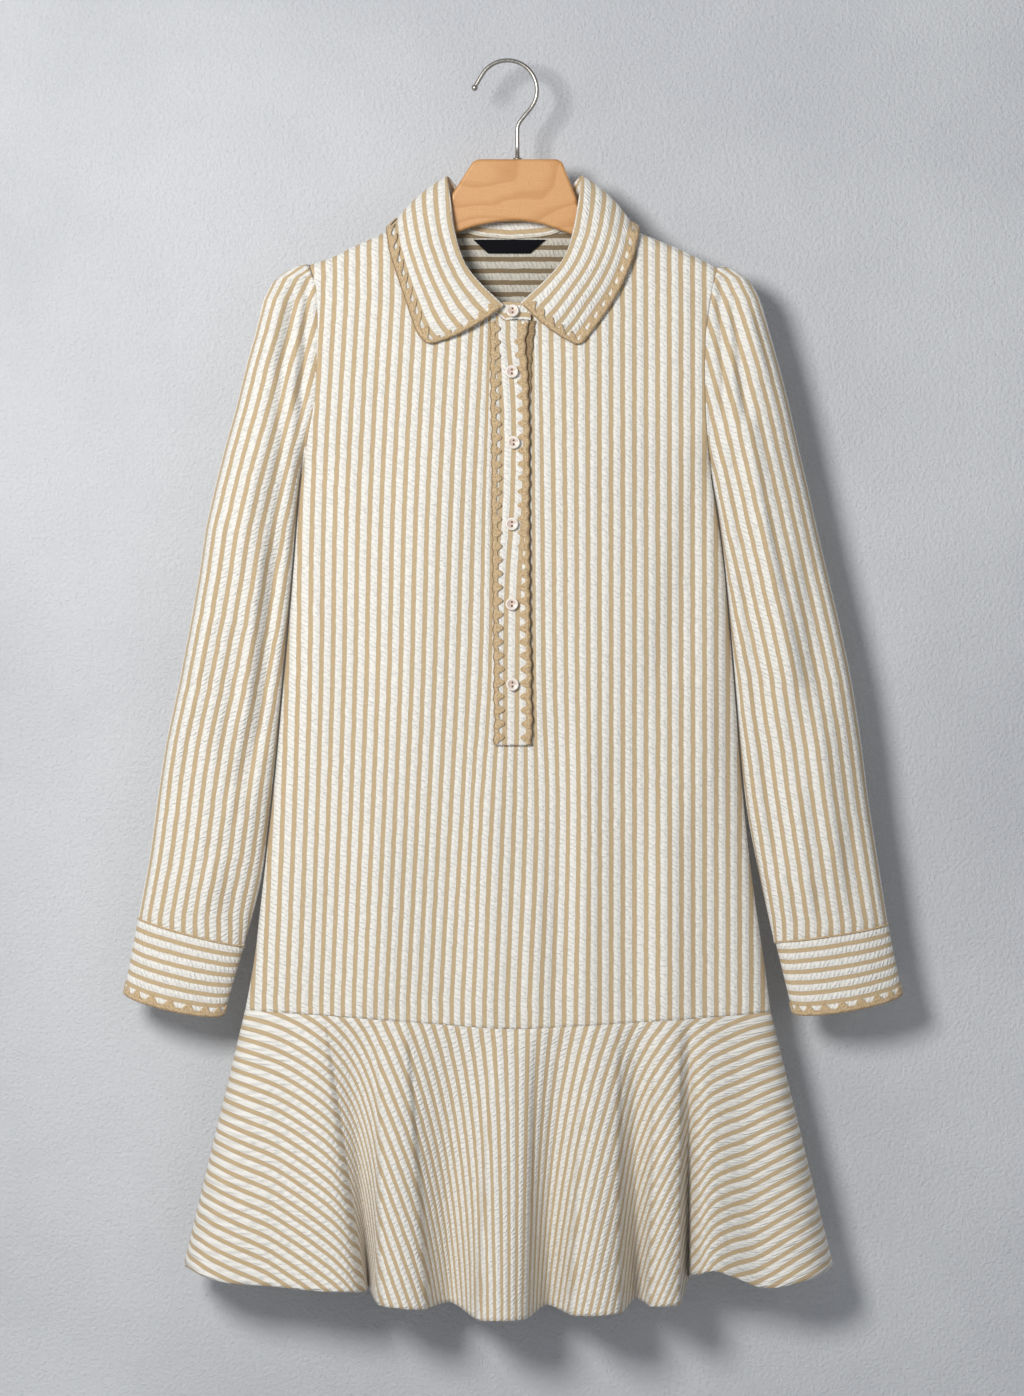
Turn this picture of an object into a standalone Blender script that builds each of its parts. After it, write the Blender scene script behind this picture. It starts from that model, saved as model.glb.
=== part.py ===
# A striped shirt dress with long sleeves, a collar and a circular flounce, on a wooden hanger.
# All sizes here are in millimetres and the meshes are made in metres. Z is up and the front
# faces -Y. The origin is at the underside of the crown of the hanger's hook.

import math

import bmesh
import bpy
import numpy as np
from mathutils import Vector

MM = 0.001

CLOTH = 1.2          # wall of the dress fabric
TAPE = 1.0           # wall of the tapes, plackets and label
SEAM_GAP = 0.5       # space between two pieces that are sewn edge to edge
LAY_GAP = 0.3        # space under a piece that lies on another
PLACKET_GAP = 0.4    # and under each layer of the placket

CENTRE_X = 5.0       # middle of the dress, beside the middle of the hook
ARMPIT_Z = -350.0
TIP_LEFT = (-166.5, -172.5)      # shoulder tips, where the shoulder meets the sleeve
TIP_RIGHT = (179.5, -175.0)
NECK_LEFT_X = -54.5              # where the shoulder line meets the collar stand
NECK_RIGHT_X = 67.0
NECK_TOP_Z = -123.5

TOP_RADIUS = 9.0     # the cloth turns over the hanger's arms with this radius
FRONT_FULL = 17.0    # how much deeper the front gets below the shoulders
BACK_FULL = 11.0
FULL_DROP = 180.0    # over about this height
SIDE_ROUND = 3.0     # how squarely the body turns at its side seams, 2 is an ellipse
ARMHOLE_DEPTH = 0.8  # share of the body's depth that is left open at the armhole
ARMHOLE_EASE = 40.0

YOKE_SHARE = 0.87    # the yoke seam's place on the way from the waist up to the shoulder tips
WAIST_EXTRA_GAP = 0.3            # the flounce hangs this much further off the waist seam
NECK_STATIONS = (3, 3.15, 3.3, 3.5, 3.8, 4.3, 5, 6, 7, 8)
BACK_STATIONS = (0, 1, 1.8, 2.3, 2.6, 2.8, 3)
FALL_STATIONS = (0, 0.9, 1.7, 2.2, 2.55, 2.8, 3, 3.2, 3.45, 3.8, 4.4, 5.2, 6.1, 7)
SLIT_WIDTH = 1.6     # the front's opening under the placket
SLIT_END_Z = -570.0

STAND_INSET = 1.3    # the stand stands this far inside the neck seam at the shoulders
STAND_RISE = 0.7     # and begins this much above it
FALL_START_BACK = 2.0            # how far outside the stand's top the fall begins
FALL_START_FRONT = 4.2
FALL_RISE = 0.6      # the fall begins this much above the stand
FALL_ROLL = 3.0      # how far it bows out on its way down
SHOULDER_ROLL = 2.0
FALL_LIFT_TOP = 4.2  # least distance of the fall from the body, at the fold and at the edge
FALL_LIFT_EDGE = 2.3
COLLAR_BOW = 4.5     # the collar's front edges bow down by this much
COLLAR_CORNER = 8.0
TRIM_CREST = 0.8     # the tape stands this much further off where it turns over a shoulder
TRIM_BAND = 6.5      # solid part of the toothed tape
TRIM_TOOTH = 3.9
TOOTH_PITCH = 11.7
TRIM_INSET = 1.2     # the tape lies this far in from the collar's edge
TRIM_START = 0.06    # and begins at this share of the way down from the fold
TRIM_LIFT = 1.7      # space for it on the collar, middle to middle is this plus LAY_GAP

BUTTON_RADIUS = 5.7
BUTTON_HEIGHT = 2.4
BUTTON_DISH = 0.7
BUTTON_HOLE_RADIUS = 0.8
BUTTON_HOLE_SPACING = 3.4
SHANK_RADIUS = 0.8               # thread between a button and the cloth
SHANK_HEIGHT = 1.4
STAND_BUTTON_Y = -21.5           # the top button lies on the lapped ends of the stand
STAND_BUTTON_LEAN = math.radians(12)

WOOD_THICK = 11.0
WOOD_ROUND = 3.6
WIRE_RADIUS = 2.3
HOOK_RADIUS = 25.0
HOOK_SHIFT = 0.8     # its arc's centre lies this far to the right of the crown
SHAFT_X = 10.0
HOOK_BEND = ((15.4, -46.5), (11.6, -53), (SHAFT_X, -60))    # from the arc into the shaft
WOOD_TOP_Z = -82.5
SOCKET_DEPTH = 16.0


def table(columns, *rows):
    values = np.array(rows, float)
    return {name: values[:, i] for i, name in enumerate(columns.split())}


def through(xs, ys, x):
    """A smooth curve through the points (xs, ys), xs rising, held level past its ends."""
    slopes = np.gradient(ys, xs)
    x = np.clip(x, xs[0], xs[-1])
    i = np.clip(np.searchsorted(xs, x, side="right") - 1, 0, len(xs) - 2)
    width = xs[i + 1] - xs[i]
    t = (x - xs[i]) / width
    return ((1 + 2 * t) * (1 - t) ** 2 * ys[i] + t * (1 - t) ** 2 * width * slopes[i]
            + t * t * (3 - 2 * t) * ys[i + 1] + t * t * (t - 1) * width * slopes[i + 1])


def along(rows, column, station):
    return through(np.arange(len(rows[column]), dtype=float), rows[column], station)


def mix(a, b, t):
    return a + (b - a) * t


def ease(t):
    t = np.clip(t, 0, 1)
    return t * t * (3 - 2 * t)


BODY_EDGES = table(
    "z left right",
    (-807, -221.5, 224.5),
    (-762, -213.5, 218.5),
    (-715, -208, 211.5),
    (-672, -203, 206),
    (-613, -196.5, 200),
    (-543, -190, 194.5),
    (-466, -183, 188),
    (-423, -179.5, 184),
    (-385, -176.5, 179),
    (-350, -173, 173.5),
    (-316, -167, 170),
    (-285, -161.5, 168.5),
    (-247, -160, 168.5),
    (-213, -159.5, 171),
    (-192, -161, 175),
    (-172.5, -166.5, 179.5),
)

SHOULDER = table(
    "x z",
    (-200, -186),
    (-166.5, -172.5),
    (-149.5, -167),
    (-132.5, -158.5),
    (-99.5, -143.5),
    (-54.5, -123.5),
    (67, -123.5),
    (111.5, -144.5),
    (148, -159.5),
    (179.5, -175),
    (210, -190),
)

WAIST_SEAM = table(
    "x z",
    (-221.5, -805),
    (-141, -810),
    (-67, -815.5),
    (3.5, -820),
    (73, -817),
    (132, -813.5),
    (224.5, -807),
)

# One row for each station of the collar, from the centre back round to the front end.
# "neck" is the seam to the body, "fold" the top of the stand and "edge" the outer edge.
COLLAR_LEFT = table(
    "neck_x neck_z fold_x fold_y fold_z edge_x edge_y edge_z",
    (5, -148, 5, 12, -120, 5, 19, -164),
    (-26.5, -144.5, -24.5, 11, -116.5, -46, 19, -162.5),
    (-45, -135, -41.5, 7, -105.5, -79, 14, -156),
    (-54.5, -123.5, -49.5, -1, -98.5, -99.5, 0, -141),
    (-51, -139.5, -47.5, -9, -115, -99.5, -13, -160),
    (-46, -160.5, -43.5, -12.5, -145.5, -92, -16, -184.5),
    (-35.5, -184.5, -35.5, -15, -172.5, -84, -17, -208),
    (-18.5, -206, -22, -17, -191, -76, -18, -230.5),
    (0, -220.5, -2.5, -18.5, -210, -67, -18, -241.5),
)
COLLAR_RIGHT = table(
    "neck_x neck_z fold_x fold_y fold_z edge_x edge_y edge_z",
    (5, -148, 5, 12, -120, 5, 19, -164),
    (37.5, -144.5, 38, 11, -116.5, 58.5, 19, -162.5),
    (57, -135, 55, 7, -105.5, 91, 14, -156),
    (67, -123.5, 64, -1, -98, 112, 0, -142),
    (64, -139.5, 62, -9, -116.5, 110, -13, -160.5),
    (58, -160.5, 57, -12.5, -145.5, 103, -16, -181),
    (47.5, -184.5, 49.5, -15, -168.5, 92.5, -17, -202),
    (33, -206, 35, -17, -187, 78.5, -18, -223),
    (12, -220.5, 13, -18.5, -208, 63, -18, -243),
)
# The stand's two ends lap at the front: the left one in front, the right one behind.
STAND_ENDS = table(
    "side x_neck z_neck x_fold z_fold out",
    (-1, 9, -219.6, 10, -205.5, 2.0),
    (-1, 19, -218.6, 20, -206.5, 2.2),
    (1, 4, -219.6, 4, -204.5, -1.7),
    (1, -4, -218.6, -4, -205.5, -1.9),
)

# One row for each ring of a sleeve. "outer" runs down the outside and "inner_z" beside the
# body, which the sleeve clears by "apart"; "half" is half the depth from front to back.
SLEEVE_LEFT = table(
    "outer_x outer_z inner_z apart half",
    (-166.5, -172.5, -350, 1.8, 9),
    (-182, -174, -355, 2.0, 15),
    (-196.5, -184, -359, 2.0, 18),
    (-205.5, -203, -364, 2.0, 20),
    (-212.5, -231, -371, 2.1, 21),
    (-220, -256.5, -380, 2.2, 22),
    (-229.5, -295, -391, 2.2, 23),
    (-239, -329, -406, 2.2, 23),
    (-247.5, -363, -423, 2.2, 23),
    (-255, -397, -442, 2.2, 23),
    (-260.5, -435, -466, 2.2, 23),
    (-268, -477.5, -500, 2.2, 23),
    (-277, -524.5, -544, 2.2, 23),
    (-288, -575.5, -594, 2.2, 22),
    (-296, -626.5, -645, 2.2, 21),
    (-303, -677.5, -697, 3, 20),
    (-312, -726, -749.5, 11, 17),
)
SLEEVE_RIGHT = table(
    "outer_x outer_z inner_z apart half",
    (179.5, -175, -350, 1.8, 9),
    (193, -174, -355, 2.0, 15),
    (206, -184, -359, 2.0, 18),
    (214.5, -202, -364, 2.0, 20),
    (223, -229.5, -371, 2.1, 21),
    (231, -256.5, -380, 2.2, 22),
    (241, -295, -391, 2.2, 23),
    (248.5, -329, -407, 2.2, 23),
    (256.5, -363, -424, 2.2, 23),
    (264, -397, -444, 2.2, 23),
    (273, -435, -468, 2.2, 23),
    (283, -477.5, -500, 2.2, 23),
    (293, -524.5, -543, 2.2, 23),
    (301, -575.5, -592, 2.2, 22),
    (307.5, -626.5, -641, 3.5, 21),
    (315.5, -677.5, -694, 8, 20),
    (324, -731, -745.5, 12, 17),
)
SLEEVE_APART_TOP = 1.3    # space beside the armhole, at the shoulder tip and at the armpit
SLEEVE_APART_LOW = 2.2
PLEATS = 4                # at each sleeve head
PLEAT_HEIGHT = 5.0
PLEAT_SPREAD = 0.42       # share of the way round that they take, each way from the top
PLEAT_RINGS = 6.0

CUFF = table(
    "side top_outer_x top_outer_z top_inner_x top_inner_z outer_x outer_z inner_x inner_z",
    (-1, -312.1, -726.5, -223, -750, -324, -789.5, -240, -808),
    (1, 324.1, -731.5, 229.1, -746, 336, -790.5, 244, -806.5),
)
CUFF_HALF = 17.0
CUFF_TOP_BOW = 2.4    # the seam of the cuff and its lower edge hang this much at the middle
CUFF_LOW_BOW = 6.4
CUFF_TRIM_LOW = 0.995  # the tape ends at this share of the cuff's height

# One row for each fold of the flounce's hem, from the left side seam to the right one:
# its two edges, its depth at each, its drop, where its edges leave the waist seam, and the
# hollow that follows it.
FRONT_FOLDS = table(
    "left right depth_left depth_right z_left z_right top_left top_right hollow_x hollow_depth hollow_z",
    (-270, -119, 22, 44, -1031, -1045, -219, -153, -115, 12, -1049),
    (-108, -63, 46, 46, -1054, -1056, -108, -83, -45, 12, -1051),
    (-28, 21, 48, 48, -1066, -1067, -13.5, 24.5, 36.5, 14, -1054),
    (51, 101, 48, 48, -1063, -1064, 64.5, 97, 110, 9, -1051),
    (120.5, 149.5, 44, 44, -1057, -1057, 124, 149.5, 158, 12, -1036),
    (166.5, 274, 36, 22, -1033, -1032, 160, 222, 276, 6, -1028),
)
BACK_FOLDS = table(
    "left right depth_left depth_right z_left z_right top_left top_right hollow_x hollow_depth hollow_z",
    (-270, -186, 20, 30, -1030, -1040, -219, -168, -175, 12, -1042),
    (-164, -100, 34, 34, -1044, -1048, -142, -96, -86, 10, -1046),
    (-72, -14, 36, 36, -1050, -1052, -66, -20, 3, 10, -1050),
    (18, 76, 36, 36, -1053, -1051, 22, 68, 92, 10, -1048),
    (106, 168, 34, 34, -1049, -1045, 98, 142, 180, 12, -1042),
    (192, 273, 30, 20, -1040, -1031, 168, 222, 276, 6, -1028),
)
HEM_LEFT = (-273, -1024)
HEM_RIGHT = (277.5, -1026)
FOLD_EASE = 1.15

PLACKET = table(
    "z left right under_left under_right",
    (-580.5, -10, 22, -6, 20),
    (-354.5, -11.7, 20.5, -8, 23.5),
    (-226.5, -13, 16, -8, 25.5),
)
BUTTONS = table("x z", (5.5, -213), (5, -264.5), (6.5, -324.5), (5, -393.5), (5, -461), (5.5, -529))
LABEL = table("z left right", (-161.5, -15.5, 20.5), (-149.8, -28, 34))

WOOD_OUTLINE = table(
    "x z",
    (-24, -82.5), (-28.5, -85), (-47, -114), (-48, -121.5), (-53, -125.8), (-64.5, -130),
    (-99.5, -145), (-132.5, -160), (-149, -169), (-154, -176), (-146, -186),
    (-99.5, -167), (-64.5, -152.5), (-43.5, -145.5), (-27, -139.5), (-7.5, -135.5),
    (12, -134.5), (31.5, -137.5), (53.5, -145.5), (80, -156.5), (114, -170.5),
    (158, -189), (166.5, -182), (163, -172.5), (148, -161.2), (111.5, -146.2),
    (80, -131.6), (66, -126), (61, -121.5), (60, -115.5), (48, -85), (43.5, -82.5),
)


def shoulder_z(x):
    return np.interp(x, SHOULDER["x"], SHOULDER["z"])


def edge_x(side, z):
    return through(BODY_EDGES["z"], BODY_EDGES["left" if side < 0 else "right"], z)


def depth(x, z, face, off=0.0):
    """How far the body lies from its middle plane; face is -1 at the front, 1 at the back."""
    radius = TOP_RADIUS + off
    down = shoulder_z(x) + off - z
    turn = radius - np.clip(down, 0, radius)
    full = FRONT_FULL if face < 0 else BACK_FULL
    swell = full * (1 - np.exp(-np.clip(down - radius, 0, None) / FULL_DROP))
    return np.sqrt(np.clip(radius ** 2 - turn ** 2, 0, None)) + swell


def body_y(x, z, face, out=0.0):
    left, right = edge_x(-1, z), edge_x(1, z)
    across = np.clip(np.abs(2 * (x - left) / (right - left) - 1), 0, 1)
    turn = (1 - across ** SIDE_ROUND) ** (1 / SIDE_ROUND)
    open_share = ARMHOLE_DEPTH * ease((z - ARMPIT_Z) / ARMHOLE_EASE)
    return face * (depth(x, z, face) * (open_share + (1 - open_share) * turn) + SEAM_GAP / 2 + out)


def body_grid(us, vs, face):
    """Points of a body panel: us run across it and vs up it, both from 0 to 1."""
    u, v = np.meshgrid(us, vs)
    rise_left = mix(WAIST_SEAM["z"][0], TIP_LEFT[1], v)
    rise_right = mix(WAIST_SEAM["z"][-1], TIP_RIGHT[1], v)
    x = mix(edge_x(-1, rise_left), edge_x(1, rise_right), u)
    foot_x = mix(BODY_EDGES["left"][0], BODY_EDGES["right"][0], u)
    foot = through(WAIST_SEAM["x"], WAIST_SEAM["z"], foot_x)
    level = mix(TIP_LEFT[1], TIP_RIGHT[1], u)
    head = shoulder_z(mix(TIP_LEFT[0], TIP_RIGHT[0], u))
    z = mix(foot, level, v) + (head - level) * ease((v - YOKE_SHARE) / (TURN_ROWS[0] - YOKE_SHARE))
    return np.stack([x, body_y(x, z, face), z], axis=-1)


def collection(name, show):
    made = bpy.data.collections.new(name)
    bpy.context.scene.collection.children.link(made)
    made.hide_render = not show
    return made


def material(name, colour, roughness, metallic=0.0):
    made = bpy.data.materials.new(name)
    made.use_nodes = True
    shader = made.node_tree.nodes["Principled BSDF"]
    shader.inputs["Base Color"].default_value = (*colour, 1)
    shader.inputs["Roughness"].default_value = roughness
    shader.inputs["Metallic"].default_value = metallic
    made.diffuse_color = (*colour, 1)
    return made


def place(name, mesh, finish, group):
    made = bpy.data.objects.new(name, mesh)
    mesh.materials.clear()
    mesh.materials.append(finish)
    group.objects.link(made)
    return made


def wall(name, points, thickness, finish, closed=False, left_out=()):
    """A cloth wall on a grid of points, half its thickness to each side."""
    rows, columns = points.shape[:2]
    across = columns if closed else columns - 1
    faces = []
    for r in range(rows - 1):
        for c in range(across):
            if (r, c) not in left_out:
                d = (c + 1) % columns
                faces.append((r * columns + c, r * columns + d,
                              (r + 1) * columns + d, (r + 1) * columns + c))
    mesh = bpy.data.meshes.new(name)
    mesh.from_pydata((points.reshape(-1, 3) * MM).tolist(), [], faces)
    mesh.shade_smooth()
    made = place(name, mesh, finish, DRESS)
    thicken = made.modifiers.new("Thickness", "SOLIDIFY")
    thicken.thickness = thickness * MM
    thicken.offset = 0
    return made


def body_columns(side_steps, neck_steps):
    """Places across a panel, close together at its sides."""
    width = TIP_RIGHT[0] - TIP_LEFT[0]
    neck_left = (NECK_LEFT_X - TIP_LEFT[0]) / width
    neck_right = (NECK_RIGHT_X - TIP_LEFT[0]) / width
    near = np.linspace(0, 1, side_steps + 1) ** 2
    return np.concatenate([near * neck_left, np.linspace(neck_left, neck_right, neck_steps + 1)[1:-1],
                           1 - near[::-1] * (1 - neck_right)])


def neck_cutter(name, face, stations, slit):
    """A block that takes away the neck opening from the front or the back."""
    left, right = ([(along(rows, "neck_x", s), along(rows, "neck_z", s)) for s in stations]
                   for rows in (COLLAR_LEFT, COLLAR_RIGHT))
    half = SLIT_WIDTH / 2
    ends = [(CENTRE_X - half, SLIT_END_Z), (CENTRE_X + half, SLIT_END_Z)] if slit else []
    if slit:
        ends = [(CENTRE_X - half, left[-1][1])] + ends + [(CENTRE_X + half, right[-1][1])]
    line = left + ends + (right[::-1] if slit else right[-2::-1])
    line = [(NECK_LEFT_X, NECK_TOP_Z + 20)] + line + [(NECK_RIGHT_X, NECK_TOP_Z + 20)]
    mesh = bpy.data.meshes.new(name)
    near, far = (0.0, face * 60.0)
    count = len(line)
    points = [(x * MM, y * MM, z * MM) for y in (near, far) for x, z in line]
    sides = [(i, (i + 1) % count, count + (i + 1) % count, count + i) for i in range(count)]
    mesh.from_pydata(points, [], [tuple(range(count))[::-1], tuple(range(count, 2 * count))] + sides)
    made = bpy.data.objects.new(name, mesh)
    bm = bmesh.new()
    bm.from_mesh(mesh)
    bmesh.ops.recalc_face_normals(bm, faces=bm.faces)
    bm.to_mesh(mesh)
    bm.free()
    SHAPERS.objects.link(made)
    made.hide_render = True
    made.display_type = "WIRE"
    return made


BODY_RISE = TIP_LEFT[1] - WAIST_SEAM["z"][0]
ARMPIT_SHARE = (ARMPIT_Z - WAIST_SEAM["z"][0]) / BODY_RISE
LOW_ROWS = (0, 0.13, 0.26, 0.38, 0.5, 0.61, ARMPIT_SHARE, 0.752, 0.8)
TURN_ROWS = 1 - TOP_RADIUS * (1 - np.cos(np.linspace(math.pi / 2, 0, 5))) / BODY_RISE
HIGH_ROWS = np.concatenate([[YOKE_SHARE, 0.915, 0.955], TURN_ROWS])


def make_body(finish):
    us = body_columns(7, 6)
    seam = SEAM_GAP / BODY_RISE / 2
    front = wall("front_panel", body_grid(us, np.append(LOW_ROWS, HIGH_ROWS), -1), CLOTH, finish)
    cut(front, neck_cutter("front_neck", -1, NECK_STATIONS, True))
    wall("back_panel", body_grid(us, np.append(LOW_ROWS, YOKE_SHARE - seam), 1), CLOTH, finish)
    yoke = wall("back_yoke", body_grid(us, np.append(YOKE_SHARE + seam, HIGH_ROWS[1:]), 1), CLOTH, finish)
    cut(yoke, neck_cutter("back_neck", 1, BACK_STATIONS[::-1], False))


def hem_curve(folds, face):
    """Points along a hem, five round each fold and one in the hollow after it. The last column
    is the place across the waist seam that each of them hangs from."""
    points = [(HEM_LEFT[0], 0, HEM_LEFT[1], WAIST_SEAM["x"][0])]
    for i in range(len(folds["left"])):
        f = {name: column[i] for name, column in folds.items()}
        for share, reach in ((0, 0.5), (0.14, 0.92), (0.5, 1.03), (0.86, 0.92), (1, 0.5)):
            points.append((mix(f["left"], f["right"], share),
                           reach * mix(f["depth_left"], f["depth_right"], share),
                           mix(f["z_left"], f["z_right"], share),
                           mix(f["top_left"], f["top_right"], share)))
        after = np.append(folds["top_left"], WAIST_SEAM["x"][-1])[i + 1]
        points.append((f["hollow_x"], f["hollow_depth"], f["hollow_z"], (f["top_right"] + after) / 2))
    points.append((HEM_RIGHT[0], 0, HEM_RIGHT[1], WAIST_SEAM["x"][-1]))
    points = np.array(points) * (1, face, 1, 1)
    path = lengths(points[:, :2])
    fine = np.linspace(0, path[-1], 600)
    shape = [through(path, points[:, k], fine) for k in range(3)]
    return np.stack(shape + [np.interp(fine, path, points[:, 3])], axis=-1)


def lengths(points):
    """How far each point is along the line through them all."""
    return np.concatenate([[0], np.cumsum(np.linalg.norm(np.diff(points, axis=0), axis=1))])


def spaced(curve, shares):
    """The points at these shares of a curve's length."""
    path = lengths(curve[:, :3])
    return np.stack([np.interp(shares * path[-1], path, column) for column in curve.T], axis=-1)


def make_flounce(name, face, folds, columns, rows, finish):
    hem = spaced(hem_curve(folds, face), np.linspace(0, 1, columns))
    waist = body_grid((1 - np.cos(np.linspace(0, math.pi, 400))) / 2, [0.0], face)[0]
    path = lengths(waist)
    top = spaced(waist, np.interp(hem[:, 3], waist[:, 0], path / path[-1]))
    top = top + (0, face * SEAM_GAP / 2, -SEAM_GAP - WAIST_EXTRA_GAP)
    hem = hem[:, :3] + (0, face * SEAM_GAP, 0)
    down = np.linspace(0, 1, rows)[:, None]
    x = mix(top[:, 0], hem[:, 0], down)
    y = mix(top[:, 1], hem[:, 1], down ** FOLD_EASE)
    z = mix(top[:, 2], hem[:, 2], down)
    wall(name, np.stack([x, y, z], axis=-1), CLOTH, finish)


def sleeve_grid(side, stations, turns):
    """Points of a sleeve. turns go from -1 to 1 round it, 0 at its outer line."""
    rows = SLEEVE_LEFT if side < 0 else SLEEVE_RIGHT
    k, w = np.meshgrid(stations, turns, indexing="ij")
    outer_x, outer_z, inner_z, apart, half = (
        along(rows, name, k) for name in ("outer_x", "outer_z", "inner_z", "apart", "half"))
    inner_x = edge_x(side, inner_z) + side * apart
    out, round_ = np.cos(math.pi * w), np.sin(math.pi * w)
    share = (1 - out) / 2
    x, z = mix(outer_x, inner_x, share), mix(outer_z, inner_z, share)
    y = half * np.sign(round_) * np.abs(round_) ** 0.85
    last = len(rows["half"]) - 1
    z = z - CUFF_TOP_BOW * np.abs(round_) * ease((k - last + 2) / 2)

    tip_z = TIP_LEFT[1] if side < 0 else TIP_RIGHT[1]
    loop_z = mix(tip_z, ARMPIT_Z, share)
    face = np.where(w < 0, -1, 1)
    rows_up = np.concatenate([LOW_ROWS, HIGH_ROWS])
    row_z = mix(WAIST_SEAM["z"][0 if side < 0 else -1], tip_z, rows_up)
    row_x = edge_x(side, row_z)
    front, back = (np.interp(loop_z, row_z, body_y(row_x, row_z, way)) for way in (-1, 1))
    loop_y = np.where(np.abs(w) < 1e-9, 0, np.where(face < 0, front, back))
    loop_x = np.interp(loop_z, row_z, row_x) + side * mix(SLEEVE_APART_TOP, SLEEVE_APART_LOW, share ** 3)
    leave = ease(k / 3.0)
    x, y, z = mix(loop_x, x, leave), mix(loop_y, y, leave), mix(loop_z, z, leave)

    near = np.clip(1 - np.abs(w) / PLEAT_SPREAD, 0, 1) ** 0.5
    wave = (0.5 - 0.5 * np.cos(2 * math.pi * (w / PLEAT_SPREAD + 1) * PLEATS / 2))
    fade = ease(k / 0.8) * np.clip(1 - k / PLEAT_RINGS, 0, 1)
    lift = PLEAT_HEIGHT * near * wave * fade
    return np.stack([x + side * lift * 0.7 * np.abs(out), y + face * lift * 0.5,
                     z + lift * 0.7 * np.clip(1 - k / 3, 0, 1)], axis=-1)


def make_sleeve(side, name, finish):
    pleated = np.linspace(-PLEAT_SPREAD, PLEAT_SPREAD, 4 * PLEATS + 1)
    under = np.array([0.5, 0.6, 0.7, 0.8, 0.9])
    turns = np.concatenate([[-1], -under[::-1], pleated, under])
    stations = np.array([0, 0.6, 1.2, 2, 3, 4, 5, 6, 7, 8, 9, 10.2, 11.6, 13, 14.5, 16])
    wall(name, sleeve_grid(side, stations, turns), CLOTH, finish, closed=True)


def cuff_grid(side, levels, turns, out=0.0):
    """Points of a cuff. levels go from 0 at its top to 1 at its lower edge."""
    c = {name: column[0 if side < 0 else 1] for name, column in CUFF.items()}
    v, w = np.meshgrid(levels, turns, indexing="ij")
    share = (1 - np.cos(math.pi * w)) / 2
    round_ = np.sin(math.pi * w)
    outer_x, outer_z = mix(c["top_outer_x"], c["outer_x"], v), mix(c["top_outer_z"], c["outer_z"], v)
    inner_x, inner_z = mix(c["top_inner_x"], c["inner_x"], v), mix(c["top_inner_z"], c["inner_z"], v)
    x, z = mix(outer_x, inner_x, share), mix(outer_z, inner_z, share)
    y = CUFF_HALF * np.sign(round_) * np.abs(round_) ** 0.85
    z = z - mix(CUFF_TOP_BOW, CUFF_LOW_BOW, v) * np.abs(round_)
    x = x + out * side * np.cos(math.pi * w)
    y = y + out * np.sign(round_) * np.abs(round_) ** 0.4
    return np.stack([x, y, z], axis=-1)


def make_cuffs(finish, tape):
    turns = np.linspace(-1, 1, 25)[:-1]
    for side, name in ((-1, "left"), (1, "right")):
        wall("cuff_" + name, cuff_grid(side, np.linspace(0, 1, 3), turns), CLOTH, finish, closed=True)
        ring = cuff_grid(side, [1.0], np.linspace(-1, 1, 81)[:-1])[0]
        length = np.linalg.norm(np.roll(ring, -1, axis=0) - ring, axis=1).sum()
        teeth = round(length / TOOTH_PITCH)
        steps = np.linspace(-1, 1, 2 * teeth + 1)[:-1]
        height = CUFF["outer_z"][0] - CUFF["top_outer_z"][0]
        lift = (CLOTH + TAPE) / 2 + 2 * LAY_GAP
        low = cuff_grid(side, [CUFF_TRIM_LOW], steps, lift)[0]
        band = 1 + TRIM_BAND / height
        tooth = 1 + (TRIM_BAND + TRIM_TOOTH) / height
        high = np.where(np.arange(2 * teeth)[:, None] % 2 == 0,
                        cuff_grid(side, [band], steps, lift)[0], cuff_grid(side, [tooth], steps, lift)[0])
        wall("cuff_trim_" + name, np.stack([low, high]), TAPE, tape, closed=True)


def clear_of_body(points, off):
    """Moves points out until they lie off the body's surface by the distance off."""
    x, y, z = points[..., 0], points[..., 1], points[..., 2]
    axis = shoulder_z(x) - TOP_RADIUS
    off = off + np.clip(np.abs(y) / TOP_RADIUS, 0, 1)
    reach = np.hypot(y, z - axis)
    grow = np.maximum(1, (TOP_RADIUS + off) / np.maximum(reach, 1e-6))
    face = np.where(y < 0, -1.0, 1.0)
    deep = np.where(face < 0, depth(x, z, -1), depth(x, z, 1)) + off
    above = z > axis
    new_y = np.where(above, y * grow, face * np.maximum(np.abs(y), deep))
    new_z = np.where(above, axis + (z - axis) * grow, z)
    return np.stack([x, new_y, new_z], axis=-1)


def collar_rows(side):
    return COLLAR_LEFT if side < 0 else COLLAR_RIGHT


def outward_from_neck(side, stations):
    turn = math.pi * np.clip(stations / 6.0, 0, 1)
    return np.stack([side * np.sin(turn), np.cos(turn), 0 * stations], axis=-1)


def neck_and_fold(side, stations):
    rows = collar_rows(side)
    neck_x, neck_seam = along(rows, "neck_x", stations), along(rows, "neck_z", stations)
    face = np.where(stations < 3, 1, -1)
    neck_y = np.where(face < 0, body_y(neck_x, neck_seam, -1), body_y(neck_x, neck_seam, 1))
    neck_y = np.where(np.abs(stations - 3) < 1e-6, 0, neck_y)
    neck = np.stack([neck_x, neck_y, neck_seam], axis=-1)
    fold = np.stack([along(rows, "fold_" + axis, stations) for axis in "xyz"], axis=-1)
    inset = STAND_INSET * np.clip(1 - np.abs(stations - 3.2) / 2.4, 0, 1)
    return neck - outward_from_neck(side, stations) * inset[:, None], fold


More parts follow.
